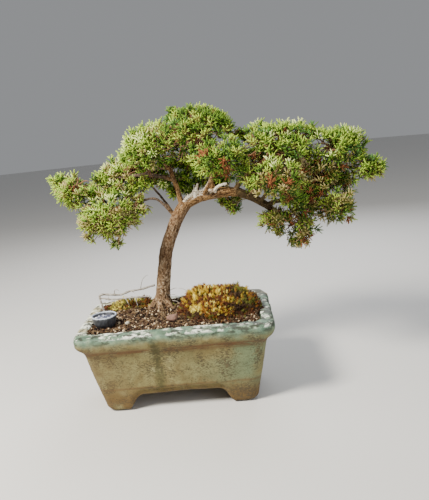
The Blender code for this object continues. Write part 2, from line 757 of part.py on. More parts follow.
def aimed(start, end, roll):
    """The matrix that stands an upright shape of unit height at start and turns it to end."""
    way = end - start
    return (
        Matrix.Translation(start)
        @ way.to_track_quat("Z", "Y").to_matrix().to_4x4()
        @ Matrix.Rotation(roll, 4, "Z")
        @ Matrix.Diagonal((1, 1, way.length, 1))
    )


def grow_twig(name, way, rng, spine, lines, taken):
    """One twig that keeps to its mass's space: from, to, neck, half width and roll, or None."""
    centre, half = mm(MASSES[name][0]), mm(MASSES[name][1])
    size = min(1.0, SIZE_LEAST + mean_size(name) / FULL_SIZE_MASS)
    length = SPRAY_LENGTH * size
    wide = SPRAY_HALF_WIDTH * size
    out = Vector((way.x * half.x, way.y * half.y, way.z * half.z))
    for reach in TWIG_REACHES:
        tip = centre + out * reach * rng.uniform(*TWIG_SPREAD)
        spot = nearest_on(spine, centre.lerp(tip, -TWIG_SETBACK))
        share = max(NECK_LEAST, 1 - length / (tip - spot).length)
        neck = spot.lerp(tip, share)
        if (
            (tip - spot).length > TWIG_LEAST * length
            and spray_fits(name, neck, tip, wide, lines, taken)
            and in_space(name, (spot,), TWIG_RADIUS)
            and clear_of_limbs(spot, neck, TWIG_RADIUS, lines)
        ):
            taken.append((neck.lerp(tip, SPRAY_WAIST), tip, wide))
            return spot, tip, share, wide, rng.uniform(0, 2 * math.pi)
    return None


def grow_whorls(name, twig, lines, taken):
    """The whorls of three sprays on a twig: how far up, and the sprays' aim, length and width."""
    spot, tip, share, wide, roll = twig
    turned = aimed(spot, tip, roll).to_3x3()
    onward = (tip - spot).normalized()
    stem = (tip - spot).length * share
    whorls = []
    for step in WHORL_STEPS:
        low = stem - step - WHORL_STEM
        if low < WHORL_LOWEST:
            continue
        seat = spot + onward * (low + WHORL_STEM / 2)
        sprays = []
        for k in range(3):
            around = (k + 0.5) * 2 * math.pi / 3
            side = (turned @ Vector((-math.sin(around), math.cos(around), 0))).normalized()
            aim = onward * math.cos(WHORL_ANGLE) + side * math.sin(WHORL_ANGLE)
            for shrink in SPRAY_SHRINKS:
                reach = SPRAY_LENGTH * shrink * wide / SPRAY_HALF_WIDTH
                thick = wide * shrink
                end = seat + aim * reach
                if spray_fits(name, seat, end, thick, lines, taken):
                    sprays.append((aim, reach, thick))
                    taken.append((seat.lerp(end, SPRAY_WAIST), end, thick))
                    break
        whorls.append((low, sprays))
    return whorls[::-1]


def grow_mass(name, lines):
    """The twigs of one mass, each with its whorls of sprays."""
    rng = random.Random(name)
    spine, _ = mass_spine(name, lines)
    count = max(TWIGS_LEAST, round((mean_size(name) / MM) ** 2 * TWIG_SPACING))
    ways = spread_directions(count, rng)
    taken = []
    twigs = [grow_twig(name, way, rng, spine, lines, taken) for way in ways]
    return [(*twig, grow_whorls(name, twig, lines, taken)) for twig in twigs if twig]


def nearest_on(spine, point):
    """The point of the spine that lies nearest."""
    best = None
    for a, b in zip(spine, spine[1:]):
        t = min(1.0, max(0.0, (point - a).dot(b - a) / (b - a).length_squared))
        spot = a.lerp(b, t)
        if best is None or (spot - point).length < (best - point).length:
            best = spot
    return best


def point_up(bm, face, tip):
    """Draws a face to a point."""
    bmesh.ops.poke(bm, faces=[face])["verts"][0].co = tip


def make_twig(twig, collection):
    """A three-sided twig, its end spray, and sprays drawn out of its sides at each whorl."""
    spot, tip, share, wide, roll, whorls = twig
    rng = random.Random(roll)
    full = (tip - spot).length
    rings = [(0, TWIG_RADIUS)]
    for low, _ in whorls:
        rings += [(low / full, TWIG_TIP_RADIUS), ((low + WHORL_STEM) / full, TWIG_TIP_RADIUS)]
    rings += [(share, TWIG_TIP_RADIUS), (share + (1 - share) * SPRAY_WAIST, wide)]
    bm = bmesh.new()
    bmesh.ops.create_circle(bm, cap_ends=True, segments=3, radius=rings[0][1])
    face = bm.faces[:][0]
    sides = []
    for (low, thin), (high, thick) in zip(rings, rings[1:]):
        face = extrude_up(bm, face, (thick / thin, thick / thin, 1), high - low, keep=low == 0)
        sides.append([f for e in face.edges for f in e.link_faces if f is not face])
    for v in face.verts:
        # The needles at the widest ring stand out unevenly
        v.co.z += rng.uniform(-SPRAY_RAGGED, SPRAY_RAGGED) * (1 - share)
        v.co.xy *= rng.uniform(SPRAY_NOTCH[0], SPRAY_FLARE)
    point_up(bm, face, (0, 0, 1))
    bmesh.ops.transform(bm, matrix=aimed(spot, tip, roll), verts=bm.verts)
    bmesh.ops.recalc_face_normals(bm, faces=bm.faces)
    for k, (_, sprays) in enumerate(whorls):
        free = sides[2 * k + 1]
        for aim, reach, thick in sprays:
            face = max(free, key=lambda f: f.normal.dot(aim))
            free.remove(face)
            draw_out(bm, face, aim, reach, thick, rng)
    return from_bmesh("twig", bm, None, collection)


def draw_out(bm, face, aim, reach, thick, rng):
    """Draws a spray out of a twig's side face: a toothed waist, then its point."""
    seat = face.calc_center_median()
    face = extrude_up(bm, face, (1, 1, 1), 0, keep=False)
    for i, v in enumerate(face.verts):
        out = v.co - seat
        out -= aim * out.dot(aim)
        ahead = reach * (SPRAY_WAIST + rng.uniform(-SPRAY_RAGGED, SPRAY_RAGGED))
        stretch = thick * (SPRAY_FLARE if i % 2 else SPRAY_NOTCH[1])
        v.co = seat + aim * ahead + out.normalized() * stretch
    point_up(bm, face, seat + aim * reach)


def make_core(name, lines, collection, tools):
    """The dense heart of a mass, a lumpy ball with the twigs round it, cut clear of the limbs."""
    centre, half = mm(MASSES[name][0]), mm(MASSES[name][1])
    rng = random.Random(name + " core")
    bm = bmesh.new()
    bmesh.ops.create_icosphere(bm, subdivisions=1, radius=CORE_SHARE)
    for v in bm.verts:
        v.co *= rng.uniform(1 - CORE_LUMP, 1 + CORE_LUMP)
    bmesh.ops.scale(bm, vec=half, verts=bm.verts)
    bmesh.ops.translate(bm, vec=centre, verts=bm.verts)
    for distance, way in borders(name):
        cut_flat(bm, centre + way * distance, -way)
    core = from_bmesh("core", bm, None, collection)
    reach = CORE_SHARE * (1 + CORE_LUMP) * max(half)
    ball = ([centre, centre + Vector((0, 0, GAP))], [reach, reach])
    for line in lines.values():
        if limbs_touch(line, ball):
            tool = limb_space(line, tools)
            cut(core, tool)
            remove([tool])


def make_mass(name, lines, collection, tools):
    """One foliage mass, its stem, twigs and sprays fused into one body."""
    pieces = bpy.data.collections.new("pieces")
    bpy.context.scene.collection.children.link(pieces)
    spine, thick = mass_spine(name, lines)
    taper = [thick * share for share in STEM_TAPER]
    mass = tube(name, spine, taper, "needles", collection, 0)
    if mean_size(name) > CORE_LEAST:
        make_core(name, lines, pieces, tools)
    for twig in grow_mass(name, lines):
        make_twig(twig, pieces)
    bpy.context.view_layer.update()
    cut(mass, pieces, "UNION", "MANIFOLD")
    remove(pieces.objects)
    bpy.data.collections.remove(pieces)
    keep_outer_body(mass)


def make_dead_twigs(collection, tools):
    """The bare grey runs that lie over the soil beside the trunk, the lower grown to the upper."""
    runs = []
    for name, points, radius in zip(("dead_twigs", "lower_run"), DEAD_TWIG_RUNS, DEAD_TWIG_RADII):
        path = smooth_path([mm(p) for p in points], 2)
        place = tools if runs else collection
        runs.append(tube(name, path, [radius] * len(path), "dead_wood", place, 1))
    twig, lower = runs
    cut(twig, lower, "UNION")
    remove([lower])
    bm = bmesh.new()
    bm.from_mesh(twig.data)
    flat_foot(bm)
    bmesh.ops.recalc_face_normals(bm, faces=bm.faces)
    bm.to_mesh(twig.data)
    bm.free()


def stand_on_origin(collection):
    """Moves the whole plant so that the middle of its box stands on the origin."""
    bpy.context.view_layer.update()
    graph = bpy.context.evaluated_depsgraph_get()
    corners = []
    for obj in collection.objects:
        seen = obj.evaluated_get(graph)
        corners += [seen.matrix_world @ v.co for v in seen.to_mesh().vertices]
        seen.to_mesh_clear()
    for k in range(2):
        middle = (min(c[k] for c in corners) + max(c[k] for c in corners)) / 2
        for obj in collection.objects:
            obj.location[k] -= middle


def shade(collection):
    """Smooth shading that keeps sharp edges, on everything but the foliage."""
    for obj in collection.objects:
        if obj.name.startswith("foliage"):
            continue
        obj.data.shade_smooth()
        obj.data.set_sharp_from_angle(angle=math.radians(40))


def main():
    remove(bpy.data.objects)
    scene = bpy.context.scene
    plant = bpy.data.collections.new("juniper_bonsai")
    tools = bpy.data.collections.new("tools")
    for collection in (plant, tools):
        scene.collection.children.link(collection)
    make_pot(plant, tools)
    make_soil(plant)
    for name, centre, half_length, half_depth, height, seed in MOSS_MOUNDS:
        make_mound(name, centre, half_length, half_depth, height, seed, plant)
    make_stone(plant)
    make_cup(plant)
    trunk = make_trunk(plant, tools)
    lines = limb_lines(trunk)
    make_limbs(lines, plant, tools)
    make_dead_twigs(plant, tools)
    for name in MASSES:
        make_mass(name, lines, plant, tools)
    shade(plant)
    stand_on_origin(plant)


if __name__ == "__main__":
    main()
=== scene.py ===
"""The looks of the creeping juniper bonsai in its footed pot.

Places are in millimetres from the middle of the pot's foot plane, as in the part's source, and
are moved to the frame by here(). The limbs and the foliage grow by the source's rule, which is
written again here and carried on to sprays, shoots and needles.
"""

import math
import random

import bmesh
import bpy
import numpy as np
from mathutils import Matrix, Vector, noise


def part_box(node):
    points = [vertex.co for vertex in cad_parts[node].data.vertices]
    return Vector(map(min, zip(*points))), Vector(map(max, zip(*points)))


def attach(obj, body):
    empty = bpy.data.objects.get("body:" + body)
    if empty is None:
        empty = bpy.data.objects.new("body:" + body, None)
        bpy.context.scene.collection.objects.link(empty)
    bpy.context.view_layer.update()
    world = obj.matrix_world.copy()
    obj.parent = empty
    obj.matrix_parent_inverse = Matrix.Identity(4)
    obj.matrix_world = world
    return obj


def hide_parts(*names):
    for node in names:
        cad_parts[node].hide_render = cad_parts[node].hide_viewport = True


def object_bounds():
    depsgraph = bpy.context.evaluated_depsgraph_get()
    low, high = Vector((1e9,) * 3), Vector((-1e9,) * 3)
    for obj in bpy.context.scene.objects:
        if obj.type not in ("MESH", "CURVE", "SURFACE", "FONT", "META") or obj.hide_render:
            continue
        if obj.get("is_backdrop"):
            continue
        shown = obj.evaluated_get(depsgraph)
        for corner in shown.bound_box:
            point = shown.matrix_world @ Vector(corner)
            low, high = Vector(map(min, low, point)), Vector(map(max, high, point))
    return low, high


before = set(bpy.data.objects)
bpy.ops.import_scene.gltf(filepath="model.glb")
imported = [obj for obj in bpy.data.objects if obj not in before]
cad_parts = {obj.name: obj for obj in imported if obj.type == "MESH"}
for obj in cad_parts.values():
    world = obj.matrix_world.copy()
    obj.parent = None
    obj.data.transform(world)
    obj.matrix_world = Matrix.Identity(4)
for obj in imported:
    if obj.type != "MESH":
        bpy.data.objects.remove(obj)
cad_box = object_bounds()

MM = 0.001
pot_low, pot_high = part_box("pot")
POT_CENTRE = Vector(((pot_low.x + pot_high.x) / 2, (pot_low.y + pot_high.y) / 2, 0))
SOIL_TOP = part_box("soil")[1].z
# The most triangles of a scattered piece, and how many copies of a shoot go into it at once
MOST_TRIANGLES = 190000
FRAMES_AT_ONCE = 500
# How far scattered things are turned at most, in radians
TURN = 6.28

# The camera, from the middle of the pot's foot plane
CAMERA_PLACE = (80.7, -707.2, 325.2)
CAMERA_YAW = math.radians(2.18)
CAMERA_PITCH = math.radians(11.98)
CAMERA_ROLL = math.radians(-5.58)
CAMERA_LENS = 43.2

# Trunk and the limbs that show, as points and radii
TRUNK_POINTS = (
    (-20, 26, 99), (-19.4, 26, 107), (-16, 25, 130), (-11, 23, 156), (-6.5, 21, 176),
    (1.4, 19, 194.7), (9.8, 17, 212), (18, 16, 225), (24, 15.2, 232),
)
TRUNK_RADII = (11.4, 9.6, 8.5, 8.2, 7.9, 7.7, 7.7, 7.6, 7.2)
ROOTS = (
    # bearing in degrees, reach, half thickness
    (200, 21, 4.2), (262, 19, 3.8), (318, 20, 4.4), (28, 18, 3.8), (110, 18, 3.6),
)
ROOT_SHAPE = (
    # height over the trunk's foot, share of the reach, share of the half thickness
    (13, 0.12, 0.8), (3, 0.42, 1.0), (-5, 0.78, 0.8), (-9, 1.0, 0.5),
)
DRAWN_LIMBS = {
    "main_bough_inner": (
        ((25, 15, 233.2), (42, 13, 239.5), (59.5, 11, 242), (76, 10, 242.5), (90, 9, 240.5)),
        (7.0, 6.6, 6.2, 5.6, 5.2),
    ),
    "main_bough_outer": (
        ((91.5, 8.9, 239.8), (104.5, 8, 233.5), (116, 7, 226), (125, 6, 219)),
        (5.0, 4.7, 4.3, 3.7),
    ),
    "upper_left_bough": (
        ((19, 15.5, 226), (17, 13.5, 247), (13.2, 11.5, 262), (10, 10, 275), (5, 9, 283)),
        (3.8, 3.4, 3.1, 2.8, 2.5),
    ),
    "left_bough": (
        ((8, 17, 219), (-1.2, 14, 232), (-9, 12, 240.5), (-18, 10, 243), (-28, 7, 241)),
        (2.2, 1.8, 1.6, 1.5, 1.5),
    ),
    "dead_stub": (
        ((37, 10, 240), (38, 8.5, 247), (41, 8, 256)),
        (3.6, 2.2, 0.8),
    ),
    "dead_spur": (
        ((61, 6, 244), (63, 4, 249.5), (70, 3, 252.4), (76, 3, 253)),
        (2.0, 1.6, 1.5, 1.2),
    ),
}
# Foliage masses: centre, half sizes, then the limb that feeds it: its parent, how far along the
# parent it leaves, its half thickness at both ends, and its rise on the way
MASSES = {
    "low_left": ((-66, -8, 228), (46, 40, 37), ("left_bough", 1.0)),
    "far_left": ((-105, 6, 262), (32, 32, 26), ("upper_left_bough", 0.62, 2.6, 1.6, 10)),
    "left_shoulder": ((-47, 22, 271), (46, 36, 32), ("upper_left_bough", 0.86, 2.2, 1.5, 6)),
    "upper_left": ((-9, -2, 304), (40, 42, 35), ("upper_left_bough", 1.0)),
    "apex": ((46, 2, 317), (52, 45, 38), ("main_bough_inner", 0.48, 3.2, 2.0, 2)),
    "back_apex": ((26, 64, 302), (50, 36, 36), ("main_bough_inner", 0.2, 3.0, 1.8, -8)),
    "inner_left": ((12, 36, 262), (32, 28, 26), ("upper_left_bough", 0.4, 1.8, 1.3, 0)),
    "centre": ((56, 36, 268), (40, 30, 26), ("main_bough_inner", 0.6, 2.4, 1.6, -3)),
    "front_centre": ((72, -44, 286), (36, 28, 27), ("main_bough_inner", 0.34, 2.8, 1.7, -4)),
    "right_top": ((134, 0, 291), (57, 44, 37), ("main_bough_inner", 0.9, 3.2, 2.0, 2)),
    "right_back": ((128, 60, 266), (54, 36, 36), ("main_bough_outer", 0.36, 2.8, 1.7, 4)),
    "front_right": ((122, -44, 256), (42, 32, 28), ("main_bough_outer", 0.6, 2.6, 1.6, 3)),
    "low_inner": ((132, -4, 208), (28, 26, 20), ("main_bough_outer", 1.0)),
    "right_middle": ((187, 14, 246), (47, 38, 33), ("right_limb", 0.45, 2.0, 1.5, 0)),
    "right_outer": ((205, 6, 278), (41, 40, 37), ("right_limb", 0.72, 2.2, 1.5, 2)),
    "far_right": ((241, 1, 257), (26, 24, 21), ("right_limb", 1.0)),
    "right_low": ((197, -8, 219), (31, 34, 28), ("low_limb", 1.0)),
    "hanging": ((160, 0, 196), (22, 24, 30), ("low_limb", 0.42, 1.9, 1.4, -2)),
    "sprig": ((79, 32, 222), (15, 16, 17), ("main_bough_inner", 0.7, 1.4, 1.0, 0)),
    "back_left": ((-36, 62, 275), (44, 30, 32), ("trunk", 0.84, 2.8, 1.7, 0)),
}
# Limbs that carry several masses: parent, how far along it, end point, half thicknesses, rise
CARRIERS = {
    "right_limb": ("main_bough_outer", 0.2, (232, 1, 256.5), 3.8, 1.8, 9),
    "low_limb": ("main_bough_outer", 0.86, (174, -2, 216), 3.0, 2.0, 3),
}
# The source's rule for how limbs, stems and twigs grow
ENTRY_SHARE = 0.6
ENTRY_STEP = 0.9
SIDE_SLANT = 0.5
BACK_LIMIT = -0.2
BEND_SHARE = 0.42
LIMB_STEP = 15
LIMB_LEAST = 9
NEIGHBOUR_GAP = 0.8
STEM_STRAIGHT = 0.12
STEM_BEND = (0.3, 0.15)
STEM_PAST_HEART = 0.3
STEM_TAPER = (0.85, 0.81, 0.68, 0.51, 0.34)
TWIG_DENSITY = 0.01
TWIGS_LEAST = 9
TWIG_SETBACK = 0.15
# How far out the twigs end here, short of the source's, so that tufts stand past them
TWIG_REACH = (0.62, 0.74)

# How the masses' skins run together: how fast a mass's hold fades, and how far it may swell
HOLD_FADE = 3.0
SWELL = 1.2
# Tufts at the twigs' ends: how far apart they stand, how long their shoots are, and the skin they
# stand on: size and rise of its lumps, and how far it lies from where the masses' holds end
TUFT_SPACING = 9.2
TUFT_LENGTH = 10.5
SKIN_LUMPS = ((24, 9.0), (10, 4.0))
SKIN_DEPTH = -4.5
DEEPER_SKINS = {
    "back_left": -14, "back_apex": -12, "left_shoulder": -10, "upper_left": -9, "low_left": -10,
    "apex": -8, "right_back": -10, "far_left": -8, "right_low": -8, "low_inner": -8,
    "right_outer": -8, "right_top": -6, "far_right": -6,
}
# Small balls of tufts that stand out from a mass or close a hollow in it: x, y, z and radius
KNOTS = {
    "apex": ((20, 0, 343, 7), (96, 6, 310, 8)),
    "far_left": ((-125, 2, 277, 8), (-102, 0, 254, 10)),
    "low_left": (
        (-62, -4, 195, 6), (-27, -4, 232, 6), (-30, 0, 245, 5), (-84, 2, 256, 11),
        (-62, 8, 258, 13),
    ),
    "left_shoulder": ((-77, 8, 274, 7), (-42, 12, 256, 11), (-22, 14, 264, 10)),
    "hanging": ((149, 0, 178, 6),),
    "low_inner": ((131, -4, 191, 6),),
    "right_outer": ((229, 4, 293, 6), (212, 20, 281, 8), (214, 2, 246, 12)),
    "sprig": ((72, 30, 228, 7), (86, 28, 233, 8), (68, 26, 236, 6)),
    "right_low": ((164, -8, 222, 18),),
    "right_middle": ((172, -8, 240, 14), (181, -6, 266, 12), (196, -6, 250, 13)),
    "right_top": ((168, -10, 262, 12), (165, 24, 292, 8), (174, 24, 276, 8), (180, 6, 304, 7)),
    "inner_left": (
        (34, 34, 276, 10), (40, 34, 258, 9), (22, 32, 262, 12), (1, 28, 262, 11), (29, 32, 248, 8),
        (10, 32, 248, 9), (-15, 28, 272, 8), (-2, 30, 276, 8),
    ),
    "upper_left": ((-12, 20, 266, 10), (-30, 12, 300, 9)),
    "centre": ((62, 34, 252, 10), (70, 20, 258, 12)),
    "back_apex": ((12, 36, 280, 7), (23, 36, 278, 7)),
    "front_right": ((148, -24, 232, 12), (100, -24, 240, 10)),
}
# Tufts inside the crown: their share of those on the skin, how far out they stand, how lumpy
INNER_TUFTS = 0.5
INNER_REACH = (0.55, 0.82)
INNER_DEPTH = 0.7
# Which tufts look down, and the share of them that is left out
UNDERSIDE = -0.45
UNDERSIDE_GAPS = 0.3
# How far a tuft's tip and foot keep from bark, and the turn from one of its side shoots to the next
TIP_CLEARANCE = 2
FOOT_CLEARANCE = 1
SIDE_TURN = 2.4
# Shoots and their needles, and how many side shoots a tuft has
SHOOT_LENGTH = 8.0
NEEDLE_LENGTH = 2.4
NEEDLE_WIDTH = 0.55
SIDE_SHOOTS = 7
INNER_SIDE_SHOOTS = 4
# The share of its tufts that a mass has, where it is thin
THIN_MASSES = {"sprig": 0.45, "hanging": 0.8, "inner_left": 0.75}
# Where the crown is open to the sky: place in x and z, and radius
OPENINGS = (
    (192, 290, 9), (-8, 238, 11), (-93, 281, 12), (-41, 205, 9), (-135, 251, 8), (218, 203, 7),
    (113, 197, 7), (100, 326, 9), (95, 227, 5), (-81, 197, 7), (65, 350, 7), (247, 238, 6),
    (163, 328, 7), (-141, 267, 6),
)
# Where nothing grows before the limbs that show: place in x and z, radius, and how far back
VIEWS = (
    (17, 247, 6, 14), (13, 262, 6, 12), (10, 275, 5, 10), (45, 240, 8, 14), (70, 243, 7, 11),
    (84, 241, 9, 10), (97, 237, 9, 8), (108, 231, 9, 6), (118, 224, 8, 5),
    (86, 248, 9, -12), (97, 244, 9, -12), (107, 238, 9, -12), (117, 231, 8, -12),
)
DEADWOOD = ("dead_stub", "dead_spur")
# More dead wood on the bough's top, as points and radii
SNAGS = (
    (((22, 10, 235), (27, 9.5, 240), (32, 9, 243), (36, 9, 244.5)), (1.2, 1.9, 1.5, 0.6)),
    (((33, 10, 243.5), (40, 9, 246.2), (47, 9, 247.2)), (0.9, 1.7, 0.6)),
    (((29, 8.5, 240), (27.5, 8, 245.5)), (1.2, 0.3)),
    (((33, 9, 243), (36.5, 8, 250), (36, 8, 253)), (1.3, 0.8, 0.3)),
    (((46, 10, 245), (50, 8, 251), (51, 8, 254)), (1.0, 0.7, 0.3)),
)
# How slim a limb looks beside its solid
SLIMMER = {"upper_left_bough": 0.84, "left_bough": 0.85, "limb_back_left": 0.7, "limb_apex": 0.76}
BARK_LIMBS = ("trunk", "main_bough_inner", "main_bough_outer", "upper_left_bough", "left_bough")

# Needle tones as base colours; cream serves as a painted highlight on the most lit tips, and deep, the
# darkest green, also serves as painted shade
TONES = {
    "lime": (0.395, 0.54, 0.065),
    "leaf": (0.145, 0.26, 0.025),
    "deep": (0.05, 0.105, 0.013),
    "cool": (0.10, 0.24, 0.042),
    "olive": (0.19, 0.175, 0.035),
    "cream": (0.68, 0.77, 0.28),
    "straw": (0.44, 0.37, 0.15),
    "rust": (0.27, 0.095, 0.035),
}
# What a spray's shoots wear: tone of the older needles, tone of the tips
# The bright and fresh dresses are lit copies of the green (painted light), bright with cream tips as a
# painted highlight; the shaded dress is the painted shade copy
DRESSES = {
    "fresh": ("leaf", "lime"),
    "bright": ("leaf", "cream"),
    "shaded": ("deep", "leaf"),
    "cool": ("deep", "cool"),
    "olive": ("olive", "lime"),
    "dull": ("deep", "olive"),
    "dry": ("olive", "straw"),
    "dead": ("rust", "rust"),
}
# Where old brown growth shows in the crown: place in x and z, and radius
BROWN_PATCHES = (
    (49, 304, 13), (81, 270, 14), (123, 255, 11), (148, 243, 14), (172, 238, 15), (167, 210, 10),
)
# How far a patch reaches, in its radii, and the share of tufts that are brown at its middle
BROWN_REACH = 1.3
BROWN_SHARE = 0.6
# Where the crown's middle ends in x, and the brown lower right's end in x and its top
MIDDLE_END = 112
BROWN_END = 222
BROWN_TOP = 278
# The painted light over which a tuft is bright, over which it is fresh and lit, and up to which it is
# in deep painted shade
BRIGHT_LIGHT = 0.66
FRESH_LIGHT = 0.14
DEEP_SHADE = -0.3


def here(values):
    """A place in millimetres from the pot's middle, in the frame."""
    return Vector(values) * MM + POT_CENTRE


def there(points):
    """Many such places, as an array."""
    return np.asarray(points) * MM + np.array(POT_CENTRE)


def pick(draw, *choices):
    """One of several names with bounds between them: the first whose bound lies over the draw."""
    for name, bound in zip(choices[::2], choices[1::2]):
        if draw < bound:
            return name
    return choices[-1]


class Tone:
    """A shader value that takes part in sums. A sum adds its Math nodes."""

    def __init__(self, paint, socket):
        self.paint = paint
        self.socket = socket

    def math(self, operation, *others):
        return self.paint.node("Math", {"operation": operation}, dict(enumerate((self, *others))))

    def __add__(self, other):
        return self.math("ADD", other)

    def __sub__(self, other):
        return self.math("SUBTRACT", other)

    def __mul__(self, other):
        return self.math("MULTIPLY", other)

    def __rsub__(self, other):
        return self.math("MULTIPLY", -1.0).math("ADD", other)

    __radd__ = __add__
    __rmul__ = __mul__

    def rises(self, low, high):
        """0 below low, 1 above high, and smooth between. It falls where low is over high."""
        turned = low > high
        settings = {"interpolation_type": "SMOOTHSTEP"}
        sockets = {"Value": self, "From Min": min(low, high), "From Max": max(low, high)}
        step = self.paint.node("MapRange", settings, sockets)
        return 1 - step if turned else step

    def near(self, middle, width):
        """1 at the middle, falling to 0 this far to each side."""
        return self.math("SUBTRACT", middle).math("ABSOLUTE").rises(width, 0.0)


class Paint:
    """One finish: its node tree, the colour laid so far, and the one way to its nodes."""

    def __init__(self, name, roughness=0.8, specular=0.3, colour=None):
        self.material = bpy.data.materials.new(name)
        self.material.use_nodes = True
        self.tree = self.material.node_tree
        self.shader = self.tree.nodes["Principled BSDF"]
        self.shader.inputs["Roughness"].default_value = roughness
        self.shader.inputs["Specular IOR Level"].default_value = specular
        self.seat = None
        self.colour = colour

    def node(self, kind, settings=None, sockets=None, output=0):
        """Adds a node: its settings first, then the values or links of its sockets."""
        made = self.tree.nodes.new("ShaderNode" + kind)
        for name, value in (settings or {}).items():
            if name == "stops":
                self.set_stops(made.color_ramp, value)
            else:
                setattr(made, name, value)
        for name, value in (sockets or {}).items():
            self.join(value, made.inputs[name])
        return Tone(self, made.outputs[output])

    def set_stops(self, ramp, stops):
        while len(ramp.elements) < len(stops):
            ramp.elements.new(0.5)
        for element, (position, colour) in zip(ramp.elements, stops):
            element.position = position
            element.color = (*colour, 1)

    def join(self, value, socket):
        if isinstance(value, Tone):
            self.tree.links.new(value.socket, socket)
        elif socket.type == "RGBA":
            socket.default_value = (*value, 1)
        else:
            socket.default_value = value

    def place(self):
        """Where a point is, in millimetres from the pot's middle."""
        if self.seat is None:
            spot = self.node("TexCoord", output="Object")
            back = {0: spot, 1: POT_CENTRE}
            spot = self.node("VectorMath", {"operation": "SUBTRACT"}, back)
            self.seat = self.node("VectorMath", {"operation": "SCALE"}, {0: spot, "Scale": 1 / MM})
        return self.seat

    def axis(self, k):
        return self.node("SeparateXYZ", None, {0: self.place()}, output=k)

    def up(self):
        """How far a face looks up, from -1 to 1."""
        normal = self.node("NewGeometry", output="Normal")
        return self.node("SeparateXYZ", None, {0: normal}, output=2)

    def grain(self, size, detail=3.0, stretch=(1, 1, 1), shift=0.0, roughness=0.55):
        """Noise from 0 to 1 with features of this size in millimetres."""
        sockets = {"Vector": self.place(), "Scale": stretch, "Location": (shift, shift, shift)}
        spot = self.node("Mapping", None, sockets)
        sockets = {"Vector": spot, "Scale": 1 / size, "Detail": detail, "Roughness": roughness}
        return self.node("TexNoise", None, sockets)

    def cells(self, size):
        """How far a point is from the middle of its cell, for cells of this size in millimetres."""
        return self.node("TexVoronoi", None, {"Vector": self.place(), "Scale": 1 / size}, "Distance")

    def attribute(self, name):
        return self.node("Attribute", {"attribute_name": name}, output="Fac")

    def ramp(self, value, *stops):
        return self.node("ValToRGB", {"stops": stops}, {0: value})

    def start(self, value, *stops):
        """Begins the colour with a ramp."""
        self.colour = self.ramp(value, *stops)

    def cover(self, share, colour):
        """Lays a colour over what is there, wholly where the share is 1."""
        sockets = {0: share, 6: self.colour, 7: colour}
        self.colour = self.node("Mix", {"data_type": "RGBA"}, sockets, output=2)

    def coat(self, roughness=None, bump=None, depth=0.3, strength=0.5):
        """Joins the colour and, where given, roughness and a bump of this depth in millimetres."""
        self.join(self.colour, self.shader.inputs["Base Color"])
        if roughness is not None:
            self.join(roughness, self.shader.inputs["Roughness"])
        if bump is not None:
            sockets = {"Height": bump, "Distance": depth * MM, "Strength": strength}
            self.join(self.node("Bump", None, sockets), self.shader.inputs["Normal"])
        return self.material


